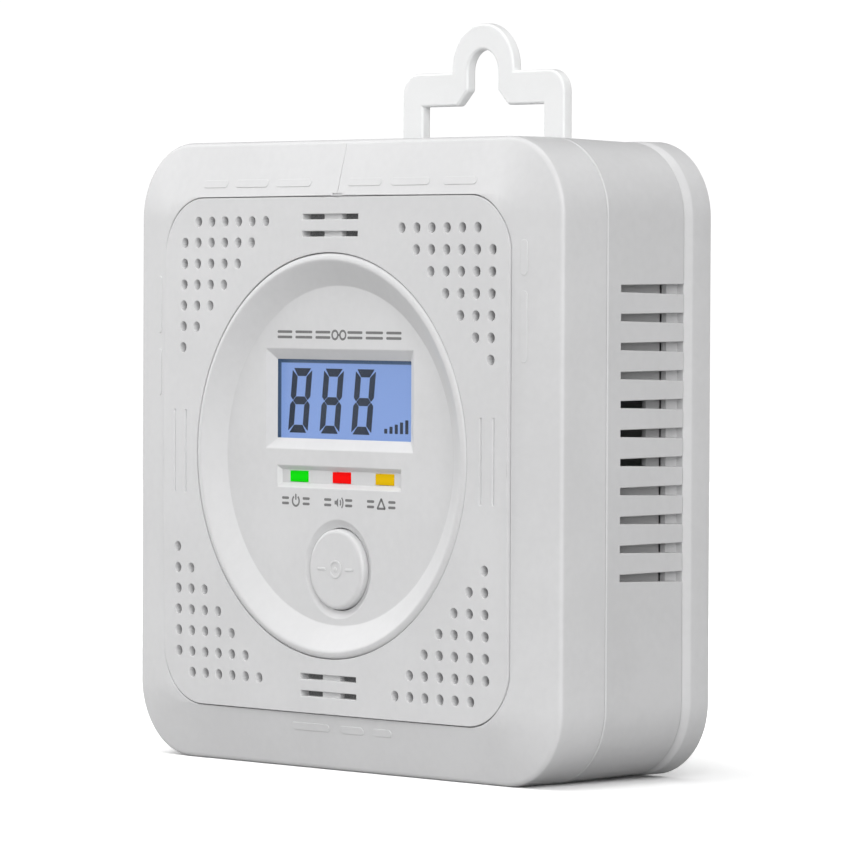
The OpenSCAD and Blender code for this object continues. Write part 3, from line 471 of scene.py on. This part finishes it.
def blank_label(name, colour):
    """Satin foil label: fine brushing, a dark ruled frame and no text."""
    paint = Paint(name)
    middle = (LABEL_LOW + LABEL_HIGH) / 2
    half = (LABEL_HIGH - LABEL_LOW) / 2
    side = half.x - abs(paint.axis("X") - middle.x)
    edge = half.z - abs(paint.axis("Z") - middle.z)
    near = side.smaller(edge)
    line = near.fade(0.9 * MM, 1.0 * MM) * near.fade(1.3 * MM, 1.2 * MM)
    brushing = paint.noise(0.3 * MM, 3.0, (0.05, 1.0, 1.0))
    foil = paint.blend(brushing, shaded(colour, 0.93), colour)
    return paint.set(
        Base_Color=paint.blend(line, foil, (0.12, 0.12, 0.13)), Metallic=0.4,
        Roughness=0.34 + brushing * 0.15, Normal=paint.relief(brushing, 0.003 * MM, 0.5))


def wound_wire(name, colour):
    """Ferrite core wound with lacquered copper wire."""
    paint = Paint(name)
    pitch = 0.35 * MM
    turns = abs(paint.axis("Y") % pitch - pitch / 2).fade(0.02 * MM, 0.16 * MM)
    stain = paint.noise(1.5 * MM, 3.0)
    return paint.set(
        Base_Color=paint.blend(turns * 0.8 + stain * 0.2, (0.45, 0.18, 0.07), colour),
        Roughness=0.35 + stain * 0.15, Normal=paint.relief(turns, 0.1 * MM, 0.8))


def floor_card(name, bounce, gain):
    """Pale matt card, slightly uneven: bounce is the share it gives back, gain how it is shown."""
    paint = Paint(name)
    clouds = paint.noise(120 * MM, 3.0)
    seen = paint.node("ShaderNodeLightPath", {}, {}, "Is Camera Ray")
    return paint.set(
        Base_Color=(0.9 + clouds * 0.03) * (seen * gain + (1 - seen) * bounce),
        Roughness=0.9, Normal=paint.relief(paint.noise(1.2 * MM), 0.01 * MM, 0.3))


FINISHES = {}


def finishes():
    """Makes each finish once and returns them by their material slot."""
    if FINISHES:
        return FINISHES
    colours = bpy.context.scene.detector_colours
    shell = tuple(colours.shell)
    FINISHES.update({
        "shell_white": moulded_plastic("moulded_white", shell),
        "housing_white": moulded_plastic("housing_white", tuple(colours.housing), 0.46),
        "hanger_white": moulded_plastic("hanger_white", tuple(colours.hanger), 0.36, cloud=0.015),
        "screen_felt": felt("dust_felt", (0.28, 0.28, 0.285)),
        "clear_window": clear_window("clear_acrylic", (0.9, 0.94, 0.98)),
        "spring_steel": metal("spring_wire", (0.62, 0.62, 0.61), 0.3, (1.0, 4.0, 1.0)),
        "lamp_green": lamp_epoxy("green_epoxy", tuple(colours.green)),
        "lamp_red": lamp_epoxy("red_epoxy", tuple(colours.red)),
        "lamp_amber": lamp_epoxy("amber_epoxy", tuple(colours.amber)),
        "black_plastic": moulded_plastic("black_nylon", (0.028, 0.028, 0.03), 0.5, cloud=0.2),
        "zinc_steel": metal("zinc_plate", (0.66, 0.67, 0.69), 0.32),
        "tray_plastic": moulded_plastic("tray_white", (0.56, 0.57, 0.58), 0.5),
        "cell_sleeve": cell_sleeve("cell_sleeve", (0.022, 0.024, 0.03)),
        "nickel_plate": metal("nickel_plate", (0.7, 0.68, 0.64), 0.2, (1.0, 1.0, 6.0)),
        "lead_red": rubber("red_insulation", (0.42, 0.012, 0.012), 0.45),
        "lead_black": rubber("black_insulation", (0.014, 0.014, 0.014), 0.45),
        "connector_ivory": moulded_plastic("ivory_nylon", (0.68, 0.61, 0.45), 0.5),
        "board_green": board_mask("solder_mask", (0.006, 0.085, 0.03)),
        "lcd_blue": lit_display("lit_display", tuple(colours.display)),
        "backlight_acrylic": moulded_plastic("light_guide", (0.55, 0.66, 0.85), 0.3),
        "strip_rubber": rubber("contact_strip", (0.5, 0.2, 0.28)),
        "sounder_brass": metal("disc_brass", (0.72, 0.5, 0.2), 0.28, (1.0, 1.0, 5.0)),
        "gasket_foam": felt("gasket_foam", (0.03, 0.03, 0.03)),
        "chip_black": moulded_plastic("chip_epoxy", (0.02, 0.02, 0.022), 0.55, cloud=0.2),
        "ferrite": wound_wire("wound_ferrite", (0.05, 0.045, 0.04)),
        "capacitor_sleeve": rubber("capacitor_sleeve", (0.012, 0.018, 0.07), 0.3),
        "chip_ceramic": moulded_plastic("chip_ceramic", (0.34, 0.22, 0.11), 0.5, cloud=0.1),
        "label_silver": blank_label("label_foil", (0.6, 0.61, 0.62)),
        "digit_ink": printed_ink("digit_crystal", tuple(colours.digits)),
        "mark_ink": printed_ink("grey_print", tuple(colours.print_grey)),
    })
    return FINISHES


# ---- Mesh helpers ----

# Corners closer than this are joined
WELD = 0.02 * MM
# Faces that bend by less than this are made one
FLAT = math.radians(0.4)
# Edges that bend by more than this are rounded
CREASE = math.radians(27)
# Edges that bend by less than this are shaded smooth
SMOOTH_BELOW = math.radians(38)


def shade(bm):
    """Smooth shading, with true creases kept sharp."""
    for face in bm.faces:
        face.smooth = True
    for edge in bm.edges:
        edge.smooth = not (len(edge.link_faces) == 2 and edge.calc_face_angle() > SMOOTH_BELOW)


def finished(name, bm, finish, body, replaced=(), even=True):
    """Makes the bmesh a piece that rides on a body and takes a material slot's finish."""
    shade(bm)
    mesh = bpy.data.meshes.new(name)
    bm.to_mesh(mesh)
    bm.free()
    piece = bpy.data.objects.new(name, mesh)
    bpy.context.scene.collection.objects.link(piece)
    mesh.materials.append(finishes()[finish])
    if even:
        normals = piece.modifiers.new("even_normals", "WEIGHTED_NORMAL")
        normals.keep_sharp = True
    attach(piece, body)
    if replaced:
        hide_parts(*replaced)
    return piece


def creased(edge):
    return len(edge.link_faces) == 2 and edge.calc_face_angle() > CREASE


def middle_of(edge):
    return (edge.verts[0].co + edge.verts[1].co) / 2


def bevel(bm, edges, reach, steps, clamp):
    """Rounds these edges; clamp keeps the rounding within short faces."""
    bmesh.ops.bevel(bm, geom=edges, offset=reach, offset_type="OFFSET", segments=steps, profile=0.5,
                    affect="EDGES", clamp_overlap=clamp, material=-1)


def round_creases(bm, reach, steps=3, chosen=None):
    """Rounds the creased edges, or those of them that chosen picks."""
    bevel(bm, [e for e in bm.edges if creased(e) and (chosen is None or chosen(e))],
          reach, steps, False)


def eased(node, name, finish, reach, steps=3, chosen=None):
    """A moulding of a CAD node's shape with its creases rounded, which stands for that node."""
    bm = bmesh.new()
    bm.from_mesh(NODES[node].data)
    bmesh.ops.remove_doubles(bm, verts=bm.verts, dist=WELD)
    bmesh.ops.dissolve_limit(bm, angle_limit=FLAT, verts=bm.verts, edges=bm.edges)
    round_creases(bm, reach, steps, chosen)
    return finished(name, bm, finish, BODY_OF[node], (node,))


def plate(points, depth, level, rounding=0.0, steps=3):
    """A flat plate with this outline in the X-Z plane, its front at the given level."""
    bm = bmesh.new()
    face = bm.faces.new([bm.verts.new((x, level + depth, z)) for x, z in points])
    made = bmesh.ops.extrude_face_region(bm, geom=[face])
    verts = [v for v in made["geom"] if isinstance(v, bmesh.types.BMVert)]
    bmesh.ops.translate(bm, verts=verts, vec=(0, -depth, 0))
    if rounding:
        corners = [e for e in bm.edges if abs(e.verts[0].co.y - e.verts[1].co.y) > depth / 2]
        bevel(bm, corners, rounding, steps, True)
    bmesh.ops.recalc_face_normals(bm, faces=bm.faces)
    return bm


def add(bm, other, matrix=None):
    """Adds another bmesh, moved by the matrix, and frees it."""
    if matrix is not None:
        bmesh.ops.transform(other, matrix=matrix, verts=other.verts)
    mesh = bpy.data.meshes.new("part")
    other.to_mesh(mesh)
    other.free()
    bm.from_mesh(mesh)
    bpy.data.meshes.remove(mesh)


def box_outline(left, low, right, high):
    return [(left, low), (right, low), (right, high), (left, high)]


def bar(width, height, depth, level, x=0.0, z=0.0):
    """A bar about x, z whose corners are rounded until its ends are all but round."""
    w, h = width / 2, height / 2
    return plate(box_outline(x - w, z - h, x + w, z + h), depth, level, min(w, h) * 0.98, 6)


def ring(radius, stroke, depth, level, x=0.0, z=0.0, start=0.0, sweep=360.0, steps=40):
    """A flat ring or arc: a small square spun about the line through x, z, angles in degrees."""
    bm = bmesh.new()
    turn = Matrix.Rotation(-math.radians(start), 4, "Y")
    square = box_outline(radius - stroke / 2, level + depth, radius + stroke / 2, level)
    face = bm.faces.new([bm.verts.new(turn @ Vector((r, y, 0))) for r, y in square])
    whole = sweep >= 360
    spun = [face]
    if whole:
        spun = list(face.edges)
        bm.faces.remove(face)
    bmesh.ops.spin(bm, geom=spun, cent=(0, 0, 0), axis=(0, -1, 0), dvec=(0, 0, 0),
                   angle=math.radians(sweep), steps=steps, use_merge=whole, use_duplicate=False)
    bmesh.ops.remove_doubles(bm, verts=bm.verts, dist=WELD)
    bmesh.ops.translate(bm, verts=bm.verts, vec=(x, 0, z))
    bmesh.ops.recalc_face_normals(bm, faces=bm.faces)
    return bm


# ---- Operators ----

class DETECTOR_OT_shells(bpy.types.Operator):
    """Rounds the front shell, the rear housing and the rear cover"""

    bl_idname = "detector.shells"
    bl_label = "Shells"

    def execute(self, context):
        sizes = context.scene.detector_sizes

        def off_the_lines(edge):
            """Neither at the seam nor at the score line and its notch, in the top border."""
            middle = middle_of(edge)
            scored = -1 * MM < middle.x < 2.8 * MM and middle.z > MID_Z + 45 * MM
            return not scored and abs(middle.y - SEAM_Y) > 0.6 * MM

        def off_the_channel(edge):
            """Not where the channel's block meets the cover's top edge in a thin sliver."""
            middle = middle_of(edge)
            beside = abs(abs(middle.x) - CHANNEL_X) < 1 * MM
            return not (beside and middle.z > COVER_TOP - 1.5 * MM)

        eased("front_shell", "front_shell_moulding", "shell_white", sizes.shell_round * 0.5, 2,
              off_the_lines)
        eased("rear_housing", "rear_housing_moulding", "housing_white", sizes.shell_round * 0.6, 2,
              off_the_lines)
        eased("rear_cover", "rear_cover_moulding", "housing_white", sizes.fine_round, 2,
              off_the_channel)
        eased("battery_door", "battery_door_moulding", "housing_white", sizes.fine_round, 2)
        return {"FINISHED"}


class DETECTOR_OT_face(bpy.types.Operator):
    """Rounds the face panel with its grilles, the display dial and the test button"""

    bl_idname = "detector.face"
    bl_label = "Face"

    def execute(self, context):
        sizes = context.scene.detector_sizes

        def outside_the_recess(edge):
            """Not on the floor of the lamps' recess, where the lamps' openings leave no room."""
            floor = DISC_Y + 0.4 * MM
            return not all(v.co.y > floor and abs(v.co.z - LAMP_Z) < 2 * MM for v in edge.verts)

        eased("face_panel", "face_panel_moulding", "shell_white", sizes.hole_round, 2)
        eased("display_dial", "display_dial_moulding", "shell_white", sizes.face_round, 2,
              outside_the_recess)
        eased("test_button", "test_button_moulding", "shell_white", sizes.fine_round, 2)
        return {"FINISHED"}


class DETECTOR_OT_hanger(bpy.types.Operator):
    """Rounds the pull-out hanger"""

    bl_idname = "detector.hanger"
    bl_label = "Hanger"

    def execute(self, context):
        reach = context.scene.detector_sizes.hanger_round
        eased("hanger", "hanger_moulding", "hanger_white", reach, 4)
        return {"FINISHED"}


# The display's digits: their lean, the first's lower left corner, and the segments' gaps
DIGIT_LEAN = math.radians(6.3)
DIGITS_LEFT = -16.85 * MM
DIGITS_LOW = VIEW_Z - 6.45 * MM
SEGMENT_GAP = 0.085 * MM
SEGMENT_ROUND = 0.13 * MM

# The unit sign's bars: the first's lower left corner, their width, step, first height and growth
UNIT_LEFT = 10.3 * MM
UNIT_LOW = VIEW_Z - 6.1 * MM
UNIT_BAR = 0.8 * MM
UNIT_STEP = 1.45 * MM
UNIT_FIRST = 0.9 * MM
UNIT_GROWTH = 0.42 * MM
UNIT_ROUND = 0.1 * MM

# Thickness of the dark crystal in front of the glass
CRYSTAL = 0.05 * MM


class DETECTOR_OT_digits(bpy.types.Operator):
    """Builds the segments of the three digits and the unit sign on the display"""

    bl_idname = "detector.digits"
    bl_label = "Digits"

    def segments(self, sizes):
        """Outlines of the seven segments of one digit, from its lower left corner."""
        w, h, t = sizes.digit_width, sizes.digit_height, sizes.digit_stroke
        gap = SEGMENT_GAP
        middle = h / 2
        # How far a segment's end is cut back: at the digit's corner, and at its middle
        cut, point = 0.2 * t, 0.45 * t
        upright = [(0, cut + gap), (t, t + gap), (t, middle - t / 2 - gap), (point, middle - gap),
                   (0, middle - point - gap)]
        flat = [(cut + gap, 0), (w - cut - gap, 0), (w - t - gap, t), (t + gap, t)]
        across = [(point + gap, middle),
                  (t + gap, middle - t / 2), (w - t - gap, middle - t / 2),
                  (w - point - gap, middle),
                  (w - t - gap, middle + t / 2), (t + gap, middle + t / 2)]
        return [upright, [(w - x, z) for x, z in upright], [(x, h - z) for x, z in upright],
                [(w - x, h - z) for x, z in upright], flat, [(x, h - z) for x, z in flat], across]

    def execute(self, context):
        sizes = context.scene.detector_sizes
        level = GLASS_FRONT - CRYSTAL
        lean = Matrix.Identity(4)
        lean[0][2] = math.tan(DIGIT_LEAN)
        bm = bmesh.new()
        for digit in range(3):
            left = DIGITS_LEFT + digit * sizes.digit_pitch
            for points in self.segments(sizes):
                add(bm, plate(points, CRYSTAL, 0, SEGMENT_ROUND),
                    Matrix.Translation((left, level, DIGITS_LOW)) @ lean)
        finished("display_digits", bm, "digit_ink", HOUSING, even=False)

        bm = bmesh.new()
        for step in range(5):
            height = UNIT_FIRST + UNIT_GROWTH * step
            add(bm, plate(box_outline(0, 0, UNIT_BAR, height), CRYSTAL, 0, UNIT_ROUND),
                Matrix.Translation((UNIT_LEFT + UNIT_STEP * step, level, UNIT_LOW)))
        finished("display_unit_sign", bm, "digit_ink", HOUSING, even=False)
        return {"FINISHED"}


class DETECTOR_OT_display(bpy.types.Operator):
    """Gives the display glass its lit face and the window its clear finish"""

    bl_idname = "detector.display"
    bl_label = "Display"

    def execute(self, context):
        fine = context.scene.detector_sizes.fine_round
        eased("lcd_glass", "lit_display_glass", "lcd_blue", fine)
        eased("display_window", "clear_display_window", "clear_window", fine * 0.6)
        return {"FINISHED"}


class DETECTOR_OT_lamps(bpy.types.Operator):
    """Rounds the heads of the three indicator lamps"""

    bl_idname = "detector.lamps"
    bl_label = "Lamps"

    def execute(self, context):
        fine = context.scene.detector_sizes.fine_round
        for lamp in ("lamp_green", "lamp_red", "lamp_amber"):
            eased(lamp, lamp + "_head", lamp, fine)
        return {"FINISHED"}


# Thickness of the print on the dial, half of it proud of the disc
INK = 0.02 * MM
INK_LEVEL = DISC_Y - INK / 2

# The heading's rings and bars, each bar as its distance from the middle and its length
HEADING_Z = VIEW_Z + 12.1 * MM
RING_OFFSET = 1.1 * MM
HEADING_BARS = ((4.5 * MM, 4.2 * MM), (9.9 * MM, 4.8 * MM), (15.3 * MM, 4.2 * MM))

# Bars go in pairs, one below their middle line and one above
PAIR = (-0.5 * MM, 0.5 * MM)
BAR_HEIGHT = 0.5 * MM

# The signs under the lamps, and the bars beside each sign
SIGN_Z = LAMP_Z - 4.6 * MM
SIGN_BAR_OFFSET = 2.95 * MM
SIGN_BAR_LENGTH = 2.0 * MM


class DETECTOR_OT_prints(bpy.types.Operator):
    """Prints the grey signs on the dial: a heading bar and one sign under each lamp"""

    bl_idname = "detector.prints"
    bl_label = "Printed signs"

    def bar_pair(self, bm, length, x, z):
        for rise in PAIR:
            add(bm, bar(length, BAR_HEIGHT, INK, INK_LEVEL, x, z + rise))

    def heading(self, bm):
        """Two linked rings between ruled bars."""
        add(bm, ring(0.8 * MM, 0.42 * MM, INK, INK_LEVEL, -RING_OFFSET, HEADING_Z))
        add(bm, ring(0.8 * MM, 0.42 * MM, INK, INK_LEVEL, RING_OFFSET, HEADING_Z))
        add(bm, bar(0.7 * MM, 0.4 * MM, INK, INK_LEVEL, 0, HEADING_Z))
        for side in (-1, 1):
            for offset, length in HEADING_BARS:
                self.bar_pair(bm, length, side * offset, HEADING_Z)

    def switch_sign(self, bm):
        """An open ring with an upright bar in its gap."""
        add(bm, ring(0.95 * MM, 0.4 * MM, INK, INK_LEVEL, -LAMP_STEP, SIGN_Z, 125, 290))
        add(bm, bar(0.4 * MM, 1.2 * MM, INK, INK_LEVEL, -LAMP_STEP, SIGN_Z + 0.75 * MM))

    def sound_sign(self, bm):
        """A small horn and two waves."""
        back, neck, low, high = -1.0 * MM, -0.55 * MM, 0.35 * MM, 0.85 * MM
        add(bm, plate([(back, SIGN_Z - low), (neck, SIGN_Z - low), (0, SIGN_Z - high),
                       (0, SIGN_Z + high), (neck, SIGN_Z + low), (back, SIGN_Z + low)],
                      INK, INK_LEVEL))
        for reach in (0.7 * MM, 1.35 * MM):
            add(bm, ring(reach, 0.32 * MM, INK, INK_LEVEL, 0, SIGN_Z, -45, 90, 12))

    def triangle_sign(self, bm):
        """Three bars about the sign's middle."""
        place = Matrix.Translation((LAMP_STEP, 0, SIGN_Z - 0.15 * MM))
        for corner in range(3):
            turn = Matrix.Rotation(math.radians(120 * corner), 4, "Y")
            add(bm, bar(2.3 * MM, 0.42 * MM, INK, INK_LEVEL, 0, -0.6 * MM), place @ turn)

    def execute(self, context):
        bm = bmesh.new()
        self.heading(bm)
        self.switch_sign(bm)
        self.sound_sign(bm)
        self.triangle_sign(bm)
        for lamp in (-1, 0, 1):
            for side in (-1, 1):
                x = lamp * LAMP_STEP + side * SIGN_BAR_OFFSET
                self.bar_pair(bm, SIGN_BAR_LENGTH, x, SIGN_Z)
        finished("dial_prints", bm, "mark_ink", HOUSING, even=False)
        return {"FINISHED"}


# The raised rows on the sloping border, by the turn of their side of the face in degrees: each
# mark's middle and length. A mark also reaches a little into the border below it.
MARK_ROWS = {
    0: ((-34.5 * MM, 7.0 * MM), (-24.0 * MM, 9.5 * MM), (-12.0 * MM, 10.0 * MM),
        (8.0 * MM, 9.5 * MM), (20.5 * MM, 10.5 * MM), (34.0 * MM, 9.0 * MM)),
    90: ((-37.0 * MM, 6.5 * MM), (-24.5 * MM, 13.0 * MM)),
    180: ((-13.5 * MM, 5.0 * MM), (-5.0 * MM, 6.5 * MM), (6.5 * MM, 10.5 * MM)),
    270: ((15.0 * MM, 9.0 * MM), (28.0 * MM, 11.0 * MM)),
}
MARK_INSET = 8.0 * MM
MARK_HEIGHT = 1.5 * MM
MARK_ROOT = 0.05 * MM

# The sign on the test button: how thick it is, how much of that is proud, and its rounding
SIGN_DEPTH = 0.16 * MM
SIGN_LEVEL = BUTTON_LOW.y - 0.12 * MM
SIGN_ROUND = 0.05 * MM


class DETECTOR_OT_raised_marks(bpy.types.Operator):
    """Raises the marks on the sloping border and the sign on the test button"""

    bl_idname = "detector.raised_marks"
    bl_label = "Raised marks"

    def rows(self, lift):
        """The marks of every side, each with its front edges rounded."""
        half = (SHELL_HIGH.x - SHELL_LOW.x) / 2
        # The border's surface at the marks' middle
        surface = RIM_Y - BORDER_STEP - (MARK_INSET - BORDER_START) * math.tan(BORDER_SLOPE)
        bm = bmesh.new()
        for turn, marks in MARK_ROWS.items():
            place = (Matrix.Translation((0, 0, MID_Z)) @ Matrix.Rotation(math.radians(turn), 4, "Y")
                     @ Matrix.Translation((0, surface, half - MARK_INSET))
                     @ Matrix.Rotation(-BORDER_SLOPE, 4, "X"))
            for x, length in marks:
                mark = bar(length, MARK_HEIGHT, lift + MARK_ROOT, -lift, x, 0)
                front = [e for e in mark.edges
                         if all(v.co.y < -lift * 0.9 for v in e.verts) and creased(e)]
                bevel(mark, front, lift * 0.7, 3, True)
                add(bm, mark, place)
        return bm

    def button_sign(self):
        """A ring about a dot, between two bars."""
        bm = bmesh.new()
        add(bm, ring(1.5 * MM, 0.5 * MM, SIGN_DEPTH, SIGN_LEVEL, 0, BUTTON_Z))
        add(bm, bar(0.9 * MM, 0.9 * MM, SIGN_DEPTH, SIGN_LEVEL, 0, BUTTON_Z))
        for x in (-3.8 * MM, 3.8 * MM):
            add(bm, bar(2.2 * MM, 0.5 * MM, SIGN_DEPTH, SIGN_LEVEL, x, BUTTON_Z))
        round_creases(bm, SIGN_ROUND, 2)
        return bm

    def execute(self, context):
        rows = self.rows(context.scene.detector_sizes.mark_height)
        finished("border_raised_marks", rows, "shell_white", HOUSING)
        finished("button_raised_sign", self.button_sign(), "shell_white", BUTTON)
        return {"FINISHED"}


class DETECTOR_OT_battery_bay(bpy.types.Operator):
    """Rounds the battery tray and the cells"""

    bl_idname = "detector.battery_bay"
    bl_label = "Battery bay"

    def execute(self, context):
        fine = context.scene.detector_sizes.fine_round
        eased("battery_tray", "battery_tray_moulding", "tray_plastic", fine, 2)
        for cell in ("cell_top", "cell_middle", "cell_bottom"):
            eased(cell, cell + "_sleeved", "cell_sleeve", fine * 3)
        return {"FINISHED"}


class DETECTOR_OT_inner_finishes(bpy.types.Operator):
    """Gives every CAD piece that is still shown the finish of its material slot"""

    bl_idname = "detector.inner_finishes"
    bl_label = "Inner finishes"

    def execute(self, context):
        for node, piece in NODES.items():
            piece.data.materials.clear()
            piece.data.materials.append(finishes()[SLOT_OF[node]])
        return {"FINISHED"}


# The floor is a disc of this radius, and the backdrop is this bright where the camera sees it
FLOOR_RADIUS = 1.6
BACKDROP = 1.05

# Each light of the studio: its property, then in degrees its turn to the right of the dial's
# front and its rise above the floor
LIGHTS = (("right_front", 50, 20), ("left_front", -70, 20), ("upper_front", -30, 52),
          ("overhead", 0, 90), ("right_side", 90, 20), ("rear", 180, 20))

# The camera's place, and its sensor's width in millimetres
CAMERA_PLACE = Vector((803.23 * MM, RIM_Y - 714.34 * MM, 90.67 * MM))
SENSOR = 36.0


class DETECTOR_OT_studio(bpy.types.Operator):
    """Sets up the floor, the light and the camera"""

    bl_idname = "detector.studio"
    bl_label = "Studio"

    def lay_floor(self, scene, studio):
        bm = bmesh.new()
        bmesh.ops.create_circle(bm, cap_ends=True, radius=FLOOR_RADIUS, segments=96)
        mesh = bpy.data.meshes.new("studio_floor")
        bm.to_mesh(mesh)
        bm.free()
        floor = bpy.data.objects.new("studio_floor", mesh)
        scene.collection.objects.link(floor)
        mesh.materials.append(floor_card("floor_card", studio.floor_bounce, studio.floor_gain))

    def hang_lights(self, scene, studio):
        for name, turn, rise in LIGHTS:
            light = bpy.data.lights.new(name + "_light", "SUN")
            light.energy = getattr(studio, name)
            light.angle = studio.spread
            lamp = bpy.data.objects.new(name + "_light", light)
            a, e = math.radians(turn), math.radians(rise)
            towards = Vector((math.sin(a) * math.cos(e), -math.cos(a) * math.cos(e), math.sin(e)))
            lamp.rotation_euler = towards.to_track_quat("Z", "Y").to_euler()
            scene.collection.objects.link(lamp)

    def hang_backdrop(self, scene):
        """A white room that lights nothing and is only seen."""
        world = bpy.data.worlds.new("studio_room")
        tree = Tree(world)
        tree.nodes.clear()
        white = (1.0, 1.0, 1.0)
        room = tree.node("ShaderNodeBackground", {}, {"Color": white, "Strength": 0.0})
        backdrop = tree.node("ShaderNodeBackground", {}, {"Color": white, "Strength": BACKDROP})
        seen = tree.node("ShaderNodeLightPath", {}, {}, "Is Camera Ray")
        mix = tree.node("ShaderNodeMixShader", {}, {0: seen, 1: room, 2: backdrop})
        out = tree.nodes.new("ShaderNodeOutputWorld")
        tree.feed(out.inputs["Surface"], mix)
        scene.world = world

    def place_camera(self, scene, studio):
        data = bpy.data.cameras.new("camera")
        data.lens = studio.lens / MM
        data.sensor_width = SENSOR
        data.clip_start = 0.01
        data.clip_end = 20.0
        camera = bpy.data.objects.new("camera", data)
        scene.collection.objects.link(camera)
        camera.matrix_world = (
            Matrix.Translation(CAMERA_PLACE) @ Matrix.Rotation(studio.yaw, 4, "Z")
            @ Matrix.Rotation(math.pi / 2 + studio.tilt, 4, "X")
            @ Matrix.Rotation(studio.roll, 4, "Z"))
        scene.camera = camera

    def execute(self, context):
        scene = context.scene
        studio = scene.detector_studio
        self.lay_floor(scene, studio)
        self.hang_lights(scene, studio)
        self.hang_backdrop(scene)
        self.place_camera(scene, studio)
        scene.view_settings.view_transform = "Standard"
        scene.view_settings.look = "None"
        return {"FINISHED"}


OPERATORS = (
    DETECTOR_OT_shells, DETECTOR_OT_face, DETECTOR_OT_hanger, DETECTOR_OT_display,
    DETECTOR_OT_digits, DETECTOR_OT_lamps, DETECTOR_OT_prints, DETECTOR_OT_raised_marks,
    DETECTOR_OT_battery_bay, DETECTOR_OT_inner_finishes, DETECTOR_OT_studio)


class DETECTOR_PT_pieces(bpy.types.Panel):
    """Lists the detector's operators and sizes in the sidebar"""

    bl_idname = "DETECTOR_PT_pieces"
    bl_label = "Carbon monoxide detector"
    bl_space_type = "VIEW_3D"
    bl_region_type = "UI"
    bl_category = "Detector"

    def draw(self, context):
        for operator in OPERATORS:
            self.layout.operator(operator.bl_idname)
        for group in (context.scene.detector_sizes, context.scene.detector_colours,
                      context.scene.detector_studio):
            for name in group.bl_rna.properties.keys():
                if name not in ("rna_type", "name"):
                    self.layout.prop(group, name)


CLASSES = (Sizes, Colours, Studio, *OPERATORS, DETECTOR_PT_pieces)


def register():
    for cls in CLASSES:
        bpy.utils.register_class(cls)
    bpy.types.Scene.detector_sizes = PointerProperty(type=Sizes)
    bpy.types.Scene.detector_colours = PointerProperty(type=Colours)
    bpy.types.Scene.detector_studio = PointerProperty(type=Studio)


def unregister():
    del bpy.types.Scene.detector_studio
    del bpy.types.Scene.detector_colours
    del bpy.types.Scene.detector_sizes
    for cls in reversed(CLASSES):
        bpy.utils.unregister_class(cls)


def main():
    register()
    for operator in OPERATORS:
        group, name = operator.bl_idname.split(".")
        getattr(getattr(bpy.ops, group), name)()


if __name__ == "__main__":
    main()
